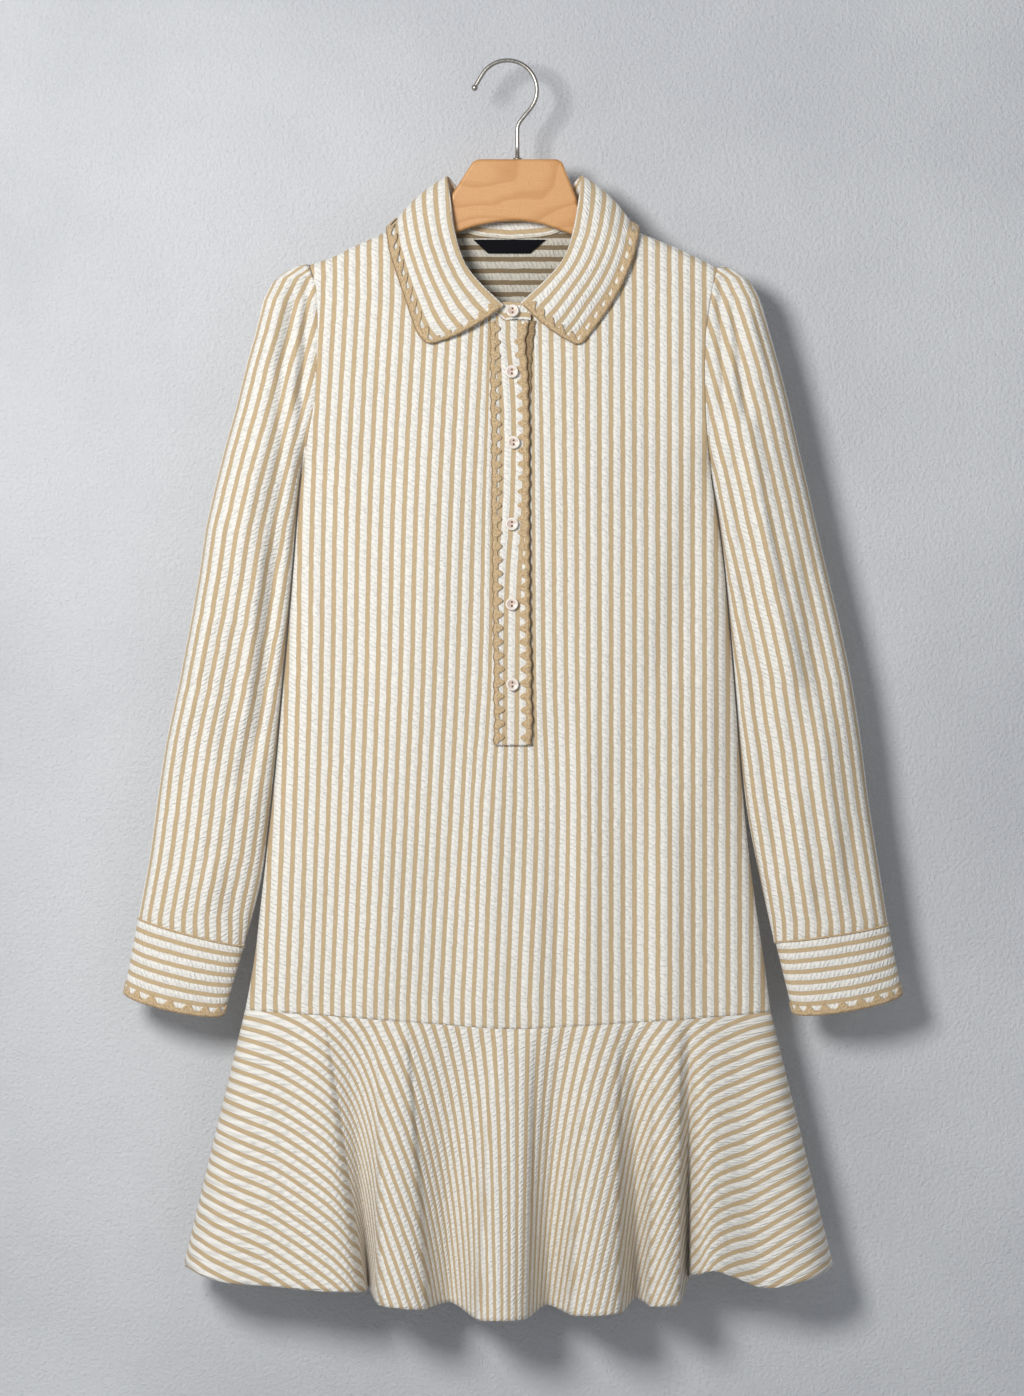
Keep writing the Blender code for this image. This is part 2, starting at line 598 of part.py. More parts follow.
def stand_side(side, stations):
    neck, fold = neck_and_fold(side, stations)
    ends = np.flatnonzero(STAND_ENDS["side"] == side)
    fold_y = fold[-1, 1] - STAND_ENDS["out"][ends[0]]
    for i in ends:
        e = {name: column[i] for name, column in STAND_ENDS.items()}
        at_neck = body_y(e["x_neck"], e["z_neck"], -1, e["out"])
        neck = np.vstack([neck, (e["x_neck"], at_neck, e["z_neck"])])
        fold = np.vstack([fold, (e["x_fold"], fold_y, e["z_fold"])])
    return neck, fold


def make_stand(finish):
    stations = np.array(BACK_STATIONS + NECK_STATIONS[1:], float)
    left_neck, left_fold = stand_side(-1, stations)
    right_neck, right_fold = stand_side(1, stations)
    neck = np.vstack([left_neck[::-1], right_neck[1:]])
    fold = np.vstack([left_fold[::-1], right_fold[1:]])
    up = (fold - neck) / np.linalg.norm(fold - neck, axis=1, keepdims=True)
    upright = np.clip(1 - np.abs(neck[:, 1:2]) / (TOP_RADIUS + 3), 0, 1)
    neck = neck + up * (STAND_RISE + upright * CLOTH / 2)
    middle = (neck + fold) / 2
    wall("collar_stand", np.stack([neck, middle, fold]), CLOTH, finish)


def fall_points(a, b):
    """The collar's fall. a goes from -1 at its left front edge to 1 at its right one, and b
    from 0 at the fold to 1 at the outer edge."""
    a, b = np.broadcast_arrays(np.asarray(a, float), np.asarray(b, float))
    points = np.zeros(a.shape + (3,))
    for side in (-1, 1):
        rows = collar_rows(side)
        here = (a < 0) if side < 0 else (a >= 0)
        s = np.abs(a[here]) * 8
        share = b[here]
        fold = np.stack([along(rows, "fold_" + axis, s) for axis in "xyz"], axis=-1)
        edge = np.stack([along(rows, "edge_" + axis, s) for axis in "xyz"], axis=-1)
        outward = outward_from_neck(side, s)
        start = fold + outward * mix(FALL_START_BACK, FALL_START_FRONT, ease((s - 5) / 3))[:, None]
        start[:, 2] += FALL_RISE
        p = mix(start, edge, share[:, None])
        roll = np.sin(math.pi * np.clip(share * 1.15, 0, 1))
        p = p + outward * (FALL_ROLL * roll)[:, None]
        p[:, 2] += SHOULDER_ROLL * roll * np.clip(1 - np.abs(s - 3) / 3, 0, 1)
        p[:, 2] -= COLLAR_BOW * 4 * share * (1 - share) * ease((s - 6.4) / 1.6)
        lift = mix(FALL_LIFT_TOP, FALL_LIFT_EDGE, ease(share * 1.6))
        points[here] = clear_of_body(p, lift + FALL_RISE * ease((s - 6) / 2) * (1 - share))
    return points


def collar_spans():
    """Lengths of the fall: along half of its middle, and from fold to edge at its front."""
    run = fall_points(np.linspace(0, 1, 60), 0.7)
    rise = fall_points(0.85, np.linspace(0, 1, 20))
    return (np.linalg.norm(np.diff(run, axis=0), axis=1).sum(),
            np.linalg.norm(np.diff(rise, axis=0), axis=1).sum())


def round_corner(a, b):
    """Rounds the two front corners of the fall's own square."""
    run, rise = collar_spans()
    p = np.clip(1 - (1 - np.abs(a)) * run / COLLAR_CORNER, 0, 1)
    q = np.clip(1 - (1 - b) * rise / COLLAR_CORNER, 0, 1)
    new_p, new_q = p * np.sqrt(1 - q * q / 2), q * np.sqrt(1 - p * p / 2)
    new_a = np.where(p > 0, 1 - (1 - new_p) * COLLAR_CORNER / run, np.abs(a))
    new_b = np.where(q > 0, 1 - (1 - new_q) * COLLAR_CORNER / rise, b)
    return np.sign(a) * new_a, new_b


def make_fall(finish, tape):
    run, rise = collar_spans()
    half = np.array(FALL_STATIONS) / 8
    half = np.concatenate([half, [1 - COLLAR_CORNER / run, 1 - COLLAR_CORNER / run / 2, 1]])
    a = np.concatenate([-half[::-1], half[1:]])
    b = np.concatenate([np.linspace(0, 1 - COLLAR_CORNER / rise, 5), [1 - COLLAR_CORNER / rise / 2, 1]])
    bb, aa = np.meshgrid(b, a, indexing="ij")
    wall("collar_fall", fall_points(*round_corner(aa, bb)), CLOTH, finish)

    corner_a, corner_b = 1 - TRIM_INSET / run, 1 - TRIM_INSET / rise
    walk = [(-corner_a, t) for t in np.linspace(TRIM_START, corner_b, 13)[:-1]]
    walk += [(t, corner_b) for t in np.linspace(-corner_a, corner_a, 81)]
    walk += [(corner_a, t) for t in np.linspace(corner_b, TRIM_START, 13)[1:]]
    walk = np.array(walk)
    walked = fall_points(*round_corner(walk[:, 0], walk[:, 1]))
    path = np.concatenate([[0], np.cumsum(np.linalg.norm(np.diff(walked, axis=0), axis=1))])
    teeth = round(path[-1] / TOOTH_PITCH)
    at = np.linspace(0, path[-1], 2 * teeth + 1)
    edge_a, edge_b = np.interp(at, path, walk[:, 0]), np.interp(at, path, walk[:, 1])
    tall = TRIM_BAND + TRIM_TOOTH * (np.arange(len(at)) % 2)
    inner_a = edge_a * (1 - (tall + TRIM_INSET) / run) / corner_a
    deep = (1 - (tall + TRIM_INSET) / rise - TRIM_START) / (corner_b - TRIM_START)
    inner_b = TRIM_START + (edge_b - TRIM_START) * deep
    strips = []
    middle = ((edge_a + inner_a) / 2, (edge_b + inner_b) / 2)
    for aa, bb in ((edge_a, edge_b), middle, (inner_a, inner_b)):
        ra, rb = round_corner(aa, bb)
        step = 0.004
        here = fall_points(ra, rb)
        side_step = fall_points(np.clip(ra + step, -1, 1), rb) - fall_points(np.clip(ra - step, -1, 1), rb)
        down_step = fall_points(ra, np.clip(rb + step, 0, 1)) - fall_points(ra, np.clip(rb - step, 0, 1))
        normal = np.cross(down_step, side_step)
        normal /= np.linalg.norm(normal, axis=1, keepdims=True)
        outward = np.where((normal[:, 1] * np.where(here[:, 1] < 0, -1, 1) + normal[:, 2]) < 0, -1, 1)
        over_shoulder = np.clip(2.0 - np.abs(np.abs(ra) * 8 - 3.1), 0, 1)
        lift = TRIM_LIFT + LAY_GAP + TRIM_CREST * over_shoulder
        strips.append(here + normal * (outward * lift)[:, None])
    wall("collar_trim", np.stack(strips), TAPE, tape)


def placket_grid(x_share, zs, left, right, out):
    s, z = np.meshgrid(x_share, zs)
    x = mix(np.interp(z, PLACKET["z"], PLACKET[left]), np.interp(z, PLACKET["z"], PLACKET[right]), s)
    return np.stack([x, body_y(x, z, -1, out), z], axis=-1)


def placket_lift(layer):
    """How far the middle of a layer on the front lies out from the panel's middle."""
    return CLOTH / 2 + (layer + 1) * PLACKET_GAP + (layer + 0.5) * TAPE


def make_placket(finish, tape):
    zs = np.linspace(PLACKET["z"][0], PLACKET["z"][-1], 18)
    wall("placket_under", placket_grid([0, 0.5, 1], zs, "under_left", "under_right", placket_lift(0)),
         TAPE, tape)
    wall("placket_over", placket_grid([0, 0.5, 1], zs, "left", "right", placket_lift(1)), TAPE, finish)
    teeth = round((zs[-1] - zs[0]) / TOOTH_PITCH)
    zs = np.linspace(zs[0] + 1, zs[-1] - 1, 2 * teeth + 1)
    left = np.interp(zs, PLACKET["z"], PLACKET["left"])
    right = np.interp(zs, PLACKET["z"], PLACKET["right"])
    tall = TRIM_BAND + TRIM_TOOTH * (np.arange(len(zs)) % 2)
    for name, edge, way in (("left", left, 1), ("right", right, -1)):
        xs = np.stack([edge + way * LAY_GAP, edge + way * tall])
        ys = body_y(xs, np.stack([zs, zs]), -1, placket_lift(2))
        wall("placket_trim_" + name, np.stack([xs, ys, np.stack([zs, zs])], axis=-1), TAPE, tape)


def turned(name, profile, steps):
    """A closed solid turned about Z from a profile of radius and height."""
    mesh = bpy.data.meshes.new(name)
    mesh.from_pydata([(r * MM, 0, h * MM) for r, h in profile], [],
                     [(i, i + 1) for i in range(len(profile) - 1)])
    made = bpy.data.objects.new(name, mesh)
    SHAPERS.objects.link(made)
    screw = made.modifiers.new("Turn", "SCREW")
    screw.steps = screw.render_steps = steps
    screw.use_merge_vertices = True
    screw.merge_threshold = 1e-6
    screw.use_normal_calculate = True
    return made


def cutter(name, radius, height, location, sides):
    bpy.ops.mesh.primitive_cylinder_add(vertices=sides, radius=radius * MM, depth=height * MM,
                                        location=Vector(location) * MM)
    made = bpy.context.object
    made.name = name
    for group in made.users_collection:
        group.objects.unlink(made)
    SHAPERS.objects.link(made)
    made.hide_render = True
    made.display_type = "WIRE"
    return made


def cut(body, tool):
    trim = body.modifiers.new("Cut " + tool.name, "BOOLEAN")
    trim.operation = "DIFFERENCE"
    trim.object = tool


def evaluated_mesh(name, body):
    bpy.context.view_layer.update()
    seen = body.evaluated_get(bpy.context.evaluated_depsgraph_get())
    made = bpy.data.meshes.new_from_object(seen)
    made.name = name
    return made


def make_buttons(finish):
    rim, dish = BUTTON_HEIGHT, BUTTON_HEIGHT - BUTTON_DISH
    profile = [(0, dish), (BUTTON_RADIUS - 2.0, dish), (BUTTON_RADIUS - 1.3, rim),
               (BUTTON_RADIUS - 0.4, rim - 0.2), (BUTTON_RADIUS, rim / 2), (BUTTON_RADIUS - 1.2, 0),
               (SHANK_RADIUS, 0), (SHANK_RADIUS, -SHANK_HEIGHT), (0, -SHANK_HEIGHT)]
    blank = turned("button_blank", profile, 18)
    blank.hide_render = True
    blank.display_type = "WIRE"
    for i, way in enumerate((-1, 1)):
        cut(blank, cutter(f"button_hole_{i}", BUTTON_HOLE_RADIUS, BUTTON_HEIGHT * 3,
                          (0, way * BUTTON_HOLE_SPACING / 2, 0), 8))
    shape = evaluated_mesh("button", blank)
    for i, (x, z) in enumerate(zip(BUTTONS["x"], BUTTONS["z"])):
        step = BUTTON_RADIUS
        if i == 0:
            y, lean = STAND_BUTTON_Y, STAND_BUTTON_LEAN
        else:
            y = float(body_y(x, z, -1, placket_lift(2) + TAPE / 2 + LAY_GAP))
            rise = float(body_y(x, z + step, -1) - body_y(x, z - step, -1))
            lean = math.atan2(rise, 2 * step)
        made = place(f"button_{i}", shape, finish, DRESS)
        made.location = Vector((x, y, z)) * MM
        made.rotation_euler = (math.pi / 2 - lean, 0, 0)


def make_label(finish):
    zs = LABEL["z"]
    s, z = np.meshgrid(np.linspace(0, 1, 7), np.linspace(zs[0], zs[1], 3))
    x = mix(np.interp(z, zs, LABEL["left"]), np.interp(z, zs, LABEL["right"]), s)
    inside = -(CLOTH / 2 + 1.5 * LAY_GAP + TAPE / 2)
    wall("neck_label", np.stack([x, body_y(x, z, 1, inside), z], axis=-1), TAPE, finish)


def make_hanger(wood, steel):
    outline = list(zip(WOOD_OUTLINE["x"], WOOD_OUTLINE["z"]))
    mesh = bpy.data.meshes.new("hanger_wood")
    mesh.from_pydata([(x * MM, 0, z * MM) for x, z in outline], [], [tuple(range(len(outline)))])
    made = place("hanger_wood", mesh, wood, DRESS)
    thicken = made.modifiers.new("Thickness", "SOLIDIFY")
    thicken.thickness = WOOD_THICK * MM
    thicken.offset = 0
    rounded = made.modifiers.new("Rounding", "BEVEL")
    rounded.width = WOOD_ROUND * MM
    rounded.segments = 2
    rounded.limit_method = "ANGLE"
    rounded.angle_limit = math.radians(50)
    cut(made, cutter("wire_socket", WIRE_RADIUS + LAY_GAP, SOCKET_DEPTH * 2,
                     (SHAFT_X, 0, WOOD_TOP_Z), 20))

    turn = [math.radians(a) for a in range(176, -41, -12)] + [math.radians(-40)]
    centre = -HOOK_RADIUS + WIRE_RADIUS
    points = [(HOOK_RADIUS * math.cos(a) + HOOK_SHIFT, centre + HOOK_RADIUS * math.sin(a)) for a in turn]
    points += [*HOOK_BEND, (SHAFT_X, WOOD_TOP_Z - SOCKET_DEPTH + 0.5)]
    curve = bpy.data.curves.new("hanger_hook", "CURVE")
    curve.dimensions = "3D"
    curve.bevel_depth = WIRE_RADIUS * MM
    curve.bevel_resolution = 3
    curve.use_fill_caps = True
    line = curve.splines.new("POLY")
    line.points.add(len(points) + 2)
    tip = [(points[0][0] + 0.1, points[0][1] - 2.6), (points[0][0], points[0][1] - 1.6)]
    for i, (x, z) in enumerate(tip + [(points[0][0], points[0][1] + 1.2)] + points[1:]):
        line.points[i].co = (x * MM, 0, z * MM, 1)
        line.points[i].radius = {0: 0.8, 1: 1.25, 2: 1.25}.get(i, 1.0)
    last = len(points) + 2
    line.points[last].co = (SHAFT_X * MM, 0, (WOOD_TOP_Z - SOCKET_DEPTH + 0.3) * MM, 1)
    hook = bpy.data.objects.new("hanger_hook_path", curve)
    SHAPERS.objects.link(hook)
    wire = evaluated_mesh("hanger_hook", hook)
    bm = bmesh.new()
    bm.from_mesh(wire)
    bmesh.ops.remove_doubles(bm, verts=bm.verts, dist=1e-6)
    bm.to_mesh(wire)
    bm.free()
    bpy.data.objects.remove(hook)
    place("hanger_hook", wire, steel, DRESS)


for old in list(bpy.data.objects):
    bpy.data.objects.remove(old)

DRESS = collection("shirt_dress_on_hanger", True)
SHAPERS = collection("cutters", False)

fabric = material("striped_seersucker", (0.80, 0.76, 0.66), 0.9)
trim_tape = material("beige_tape", (0.62, 0.52, 0.38), 0.9)
button_shell = material("cream_button", (0.83, 0.76, 0.68), 0.35)
label_satin = material("black_satin", (0.01, 0.01, 0.013), 0.45)
beech = material("beech_wood", (0.70, 0.42, 0.20), 0.5)
nickel = material("brushed_nickel", (0.60, 0.58, 0.54), 0.3, 1.0)

make_body(fabric)
make_flounce("flounce_front", -1, FRONT_FOLDS, 55, 8, fabric)
make_flounce("flounce_back", 1, BACK_FOLDS, 41, 7, fabric)
make_sleeve(-1, "sleeve_left", fabric)
make_sleeve(1, "sleeve_right", fabric)
make_cuffs(fabric, trim_tape)
make_stand(fabric)
make_fall(fabric, trim_tape)
make_placket(fabric, trim_tape)
make_buttons(button_shell)
make_label(label_satin)
make_hanger(beech, nickel)
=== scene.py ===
import math

import bmesh
import bpy
import numpy as np
from mathutils import Matrix, Vector


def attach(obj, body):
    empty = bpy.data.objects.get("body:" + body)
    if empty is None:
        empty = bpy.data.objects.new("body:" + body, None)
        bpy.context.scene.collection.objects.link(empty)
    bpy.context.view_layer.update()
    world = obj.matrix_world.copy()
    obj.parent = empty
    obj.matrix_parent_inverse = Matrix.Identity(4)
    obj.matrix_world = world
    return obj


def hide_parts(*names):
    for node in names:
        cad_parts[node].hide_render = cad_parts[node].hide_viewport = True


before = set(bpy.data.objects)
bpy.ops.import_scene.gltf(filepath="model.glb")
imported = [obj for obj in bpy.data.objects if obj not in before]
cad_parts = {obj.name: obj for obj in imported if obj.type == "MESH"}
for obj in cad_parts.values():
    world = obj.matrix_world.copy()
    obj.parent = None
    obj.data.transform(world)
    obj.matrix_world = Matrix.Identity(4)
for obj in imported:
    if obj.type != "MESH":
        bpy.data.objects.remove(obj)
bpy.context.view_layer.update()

# a striped shirt dress on its hanger; sizes in mm, x to the right, z up, the front faces -y
mm = 0.001
pitch = 9.9     # from one tan stripe to the next


def table(columns, *rows):
    values = np.array(rows, float)
    return {name: values[:, i] for i, name in enumerate(columns.split())}


def joined(*parts):
    return np.stack(parts, axis=-1)


def unit(vectors):
    return vectors / np.linalg.norm(vectors, axis=1, keepdims=True)


def mix(a, b, t):
    return a + (b - a) * t


def ease(t):
    t = np.clip(t, 0, 1)
    return t * t * (3 - 2 * t)


def through(xs, ys, x):    # a smooth curve through the points
    slopes = np.gradient(ys, xs)
    x = np.clip(x, xs[0], xs[-1])
    i = np.clip(np.searchsorted(xs, x, side="right") - 1, 0, len(xs) - 2)
    width = xs[i + 1] - xs[i]
    t = (x - xs[i]) / width
    return ((1 + 2 * t) * (1 - t) ** 2 * ys[i] + t * (1 - t) ** 2 * width * slopes[i]
            + t * t * (3 - 2 * t) * ys[i + 1] + t * t * (t - 1) * width * slopes[i + 1])


def along(rows, column, station):
    return through(np.arange(len(rows[column]), dtype=float), rows[column], station)


def lengths(points):    # how far each point is along the line through them
    return np.concatenate([[0], np.cumsum(np.linalg.norm(np.diff(points, axis=0), axis=1))])


def uneven(x, z, size, seed):    # soft irregular waves, about -1 to 1
    draw = np.random.default_rng(seed)
    total = 0
    for _ in range(7):
        angle, phase = draw.uniform(0, math.tau, 2)
        reach = size * draw.uniform(0.7, 1.6)
        total = total + np.sin((x * math.cos(angle) + z * math.sin(angle)) * math.tau / reach + phase)
    return total / 3.2


def creased(x, z, rows):    # heights of folds laid between two points each
    total = 0 * x
    for i in range(len(rows["x1"])):
        f = {name: column[i] for name, column in rows.items()}
        runX, runZ = f["x2"] - f["x1"], f["z2"] - f["z1"]
        size = runX ** 2 + runZ ** 2
        t = np.clip(((x - f["x1"]) * runX + (z - f["z1"]) * runZ) / size, 0, 1)
        side = (x - f["x1"]) * runZ - (z - f["z1"]) * runX
        width = np.where(side > 0, f["right"], f["left"])
        away = np.hypot(x - f["x1"] - t * runX, z - f["z1"] - t * runZ) / width
        taper = ease(np.minimum(t + 0.12, 1.12 - t) * 3.2)
        total = total + f["height"] * np.exp(-away ** 2) * taper
    return total


# materials

def finish(name):
    made = bpy.data.materials.new(name)
    made.use_nodes = True
    return made, made.node_tree, made.node_tree.nodes["Principled BSDF"]


def maths(tree, kind, a, b=None, c=None):
    node = tree.nodes.new("ShaderNodeMath")
    node.operation = kind
    for slotIndex, value in enumerate((a, b, c)):
        if value is None:
            continue
        if isinstance(value, (int, float)):
            node.inputs[slotIndex].default_value = value
        else:
            tree.links.new(value, node.inputs[slotIndex])
    return node.outputs[0]


def ranged(tree, value, low, high, outLow=0.0, outHigh=1.0, smooth=True):
    node = tree.nodes.new("ShaderNodeMapRange")
    node.interpolation_type = "SMOOTHSTEP" if smooth else "LINEAR"
    tree.links.new(value, node.inputs["Value"])
    for key, number in (("From Min", low), ("From Max", high), ("To Min", outLow), ("To Max", outHigh)):
        node.inputs[key].default_value = number
    return node.outputs["Result"]


def blended(tree, share, first, second, how="MIX"):
    node = tree.nodes.new("ShaderNodeMix")
    node.data_type = "RGBA"
    node.blend_type = how
    for key, value in ((0, share), (6, first), (7, second)):
        if isinstance(value, (tuple, float, int)):
            node.inputs[key].default_value = (*value, 1) if isinstance(value, tuple) else value
        else:
            tree.links.new(value, node.inputs[key])
    return node.outputs[2]


def noisy(tree, vector, scale, detail=2.0, rough=0.5):
    node = tree.nodes.new("ShaderNodeTexNoise")
    node.inputs["Scale"].default_value = scale
    node.inputs["Detail"].default_value = detail
    node.inputs["Roughness"].default_value = rough
    tree.links.new(vector, node.inputs["Vector"])
    return node.outputs["Fac"]


def scaled(tree, vector, size, turn=(0, 0, 0)):
    node = tree.nodes.new("ShaderNodeMapping")
    node.inputs["Scale"].default_value = size
    node.inputs["Rotation"].default_value = turn
    tree.links.new(vector, node.inputs["Vector"])
    return node.outputs[0]


def bumped(tree, shader, height, strength=1.0):    # the height is in mm
    node = tree.nodes.new("ShaderNodeBump")
    node.inputs["Strength"].default_value = strength
    node.inputs["Distance"].default_value = mm
    tree.links.new(height, node.inputs["Height"])
    tree.links.new(node.outputs[0], shader.inputs["Normal"])


seersuckerLook = dict(white=(0.82, 0.80, 0.75), tan=(0.505, 0.38, 0.225), tanShare=0.405, softEdge=0.022,
                      rungPitch=3.9, rungSlant=0.5, rungHeight=0.34, puffHeight=0.42, dimpleShade=0.17,
                      roughness=0.82, sheen=0.25)


def seersucker(name, s):
    # the piece's "weave" holds mm across the stripes and mm along them
    made, tree, shader = finish(name)
    weave = tree.nodes.new("ShaderNodeAttribute")
    weave.attribute_name = "weave"
    parts = tree.nodes.new("ShaderNodeSeparateXYZ")
    tree.links.new(weave.outputs["Vector"], parts.inputs[0])
    across, down = parts.outputs[0], parts.outputs[1]
    wander = noisy(tree, scaled(tree, weave.outputs["Vector"], (0.06, 0.09, 0)), 1.0, 2)
    wandered = maths(tree, "MULTIPLY_ADD", wander, 1.3, -0.65)
    moved = maths(tree, "ADD", across, wandered)
    turn = maths(tree, "FRACT", maths(tree, "MULTIPLY_ADD", moved, 1 / pitch, 0.5))
    off = maths(tree, "ABSOLUTE", maths(tree, "SUBTRACT", turn, 0.5))
    half = s["tanShare"] / 2
    white = ranged(tree, off, half - s["softEdge"], half + s["softEdge"])

    slanted = maths(tree, "MULTIPLY_ADD", across, s["rungSlant"], down)
    shove = noisy(tree, scaled(tree, weave.outputs["Vector"], (0.16, 0.22, 0)), 1.0, 2)
    rungAt = maths(tree, "MULTIPLY_ADD", shove, 5.5, slanted)
    rung = maths(tree, "SINE", maths(tree, "MULTIPLY", rungAt, math.tau / s["rungPitch"]))
    gentle = noisy(tree, scaled(tree, weave.outputs["Vector"], (0.21, 0.33, 0)), 1.0, 1)
    strength = ranged(tree, gentle, 0.36, 0.62, 0.25, 1.0)
    rungs = maths(tree, "MULTIPLY", rung, strength)
    fine = noisy(tree, scaled(tree, weave.outputs["Vector"], (0.9, 1.3, 0)), 1.0, 2)
    puffed = ranged(tree, off, half, 0.5, 0.0, s["puffHeight"])
    lumps = maths(tree, "MULTIPLY_ADD", rungs, s["rungHeight"],
                  maths(tree, "MULTIPLY", fine, 0.30))
    height = maths(tree, "MULTIPLY_ADD", lumps, white, puffed)
    threads = maths(tree, "SINE", maths(tree, "MULTIPLY", down, math.tau / 0.7))
    height = maths(tree, "MULTIPLY_ADD", threads, 0.025, height)
    bumped(tree, shader, height)

    # painted shade: the white stripes are darkened where the rungs dip, together with their bump
    shade = ranged(tree, rungs, -0.9, 0.35, 1 - s["dimpleShade"], 1.0)
    shade = maths(tree, "MAXIMUM", shade, maths(tree, "SUBTRACT", 1.0, white))
    mottle = noisy(tree, scaled(tree, weave.outputs["Vector"], (0.5, 0.35, 0)), 1.0, 3, 0.6)
    tanShade = ranged(tree, mottle, 0.3, 0.7, 0.9, 1.08, False)
    tanColour = blended(tree, 1.0, s["tan"], tanShade, "MULTIPLY")
    colour = blended(tree, white, tanColour, s["white"])
    tree.links.new(blended(tree, 1.0, colour, shade, "MULTIPLY"), shader.inputs["Base Color"])
    shader.inputs["Roughness"].default_value = s["roughness"]
    shader.inputs["Sheen Weight"].default_value = s["sheen"]
    shader.inputs["Sheen Roughness"].default_value = 0.5
    return made


tapeLook = dict(light=(0.60, 0.45, 0.27), dark=(0.38, 0.255, 0.13), loop=0.55, relief=0.35, roughness=0.9)


def tapeCloth(name, s):    # looped cotton tape
    made, tree, shader = finish(name)
    weave = tree.nodes.new("ShaderNodeAttribute")
    weave.attribute_name = "weave"
    loops = noisy(tree, weave.outputs["Vector"], s["loop"], 3, 0.65)
    cells = tree.nodes.new("ShaderNodeTexVoronoi")
    cells.inputs["Scale"].default_value = 0.75
    tree.links.new(weave.outputs["Vector"], cells.inputs["Vector"])
    height = maths(tree, "MULTIPLY_ADD", cells.outputs["Distance"], -0.5, loops)
    bumped(tree, shader, maths(tree, "MULTIPLY", height, s["relief"] * 2))
    share = ranged(tree, loops, 0.33, 0.6)
    tree.links.new(blended(tree, share, s["dark"], s["light"]), shader.inputs["Base Color"])
    shader.inputs["Roughness"].default_value = s["roughness"]
    shader.inputs["Sheen Weight"].default_value = 0.3
    return made


def satin():
    made, tree, shader = finish("blackSatin")
    where = tree.nodes.new("ShaderNodeTexCoord").outputs["Object"]
    threads = noisy(tree, scaled(tree, where, (900, 900, 3500)), 1.0, 2)
    colour = blended(tree, threads, (0.0015, 0.0015, 0.003), (0.006, 0.006, 0.009))
    tree.links.new(colour, shader.inputs["Base Color"])
    bumped(tree, shader, maths(tree, "MULTIPLY", threads, 0.12))
    shader.inputs["Roughness"].default_value = 0.55
    shader.inputs["Specular IOR Level"].default_value = 0.05
    return made


def shell():    # the buttons, a pale rim round a pinker dish
    made, tree, shader = finish("creamButton")
    where = tree.nodes.new("ShaderNodeTexCoord").outputs["Object"]
    middle = tree.nodes.new("ShaderNodeVectorMath")
    middle.operation = "LENGTH"
    tree.links.new(scaled(tree, where, (1000, 1000, 0)), middle.inputs[0])
    rim = ranged(tree, middle.outputs["Value"], 3.1, 3.9)
    clouds = ranged(tree, noisy(tree, where, 260.0, 3), 0.3, 0.7)
    dish = blended(tree, clouds, (0.60, 0.46, 0.385), (0.70, 0.575, 0.49))
    edge = blended(tree, clouds, (0.76, 0.68, 0.61), (0.86, 0.80, 0.74))
    tree.links.new(blended(tree, rim, dish, edge), shader.inputs["Base Color"])
    tree.links.new(ranged(tree, clouds, 0.0, 1.0, 0.36, 0.28), shader.inputs["Roughness"])
    shader.inputs["Coat Weight"].default_value = 0.25
    return made


def thread(name, colour):
    made, tree, shader = finish(name)
    where = tree.nodes.new("ShaderNodeTexCoord").outputs["Object"]
    twist = noisy(tree, where, 2200.0, 2)
    dark = tuple(0.7 * part for part in colour)
    tree.links.new(blended(tree, twist, dark, colour), shader.inputs["Base Color"])
    bumped(tree, shader, maths(tree, "MULTIPLY", twist, 0.15))
    shader.inputs["Roughness"].default_value = 0.75
    return made


beechLook = dict(pale=(0.64, 0.345, 0.14), warm=(0.52, 0.245, 0.08), fleck=(0.34, 0.15, 0.05),
                 roughness=0.42)


def beech():
    s = beechLook
    made, tree, shader = finish("beechWood")
    where = tree.nodes.new("ShaderNodeTexCoord").outputs["Object"]
    bend = noisy(tree, scaled(tree, where, (14, 14, 30)), 1.0, 2)
    ring = tree.nodes.new("ShaderNodeVectorMath")
    ring.operation = "LENGTH"
    placed = tree.nodes.new("ShaderNodeMapping")
    placed.inputs["Location"].default_value = (0.34, 0, 2.95)    # heart of the flame figure
    placed.inputs["Scale"].default_value = (12, 0, 31)
    tree.links.new(where, placed.inputs["Vector"])
    tree.links.new(placed.outputs[0], ring.inputs[0])
    figure = maths(tree, "MULTIPLY_ADD", bend, 1.1, ring.outputs["Value"])
    rings = maths(tree, "FRACT", maths(tree, "MULTIPLY", figure, 2.2))
    late = ranged(tree, rings, 0.55, 1.0)
    early = ranged(tree, rings, 0.0, 0.10, 1.0, 0.0)
    lines = maths(tree, "MULTIPLY", maths(tree, "MAXIMUM", late, early), 0.62)
    grain = noisy(tree, scaled(tree, where, (90, 90, 900)), 1.0, 3, 0.6)
    pores = noisy(tree, scaled(tree, where, (900, 900, 2400)), 1.0, 1)
    base = blended(tree, maths(tree, "MULTIPLY_ADD", grain, 0.5, lines), s["pale"], s["warm"])
    flecks = ranged(tree, pores, 0.55, 0.68, 0.0, 0.55)
    tree.links.new(blended(tree, flecks, base, s["fleck"]), shader.inputs["Base Color"])
    bumped(tree, shader, maths(tree, "MULTIPLY", grain, 0.14))
    shader.inputs["Roughness"].default_value = s["roughness"]
    shader.inputs["Coat Weight"].default_value = 0.15
    return made


def nickel():
    made, tree, shader = finish("brushedNickel")
    where = tree.nodes.new("ShaderNodeTexCoord").outputs["Object"]
    brushed = noisy(tree, where, 1400.0, 3)
    tree.links.new(ranged(tree, brushed, 0.3, 0.7, 0.24, 0.4), shader.inputs["Roughness"])
    colour = blended(tree, brushed, (0.36, 0.335, 0.30), (0.50, 0.475, 0.44))
    tree.links.new(colour, shader.inputs["Base Color"])
    bumped(tree, shader, maths(tree, "MULTIPLY", brushed, 0.03))
    shader.inputs["Metallic"].default_value = 1.0
    return made


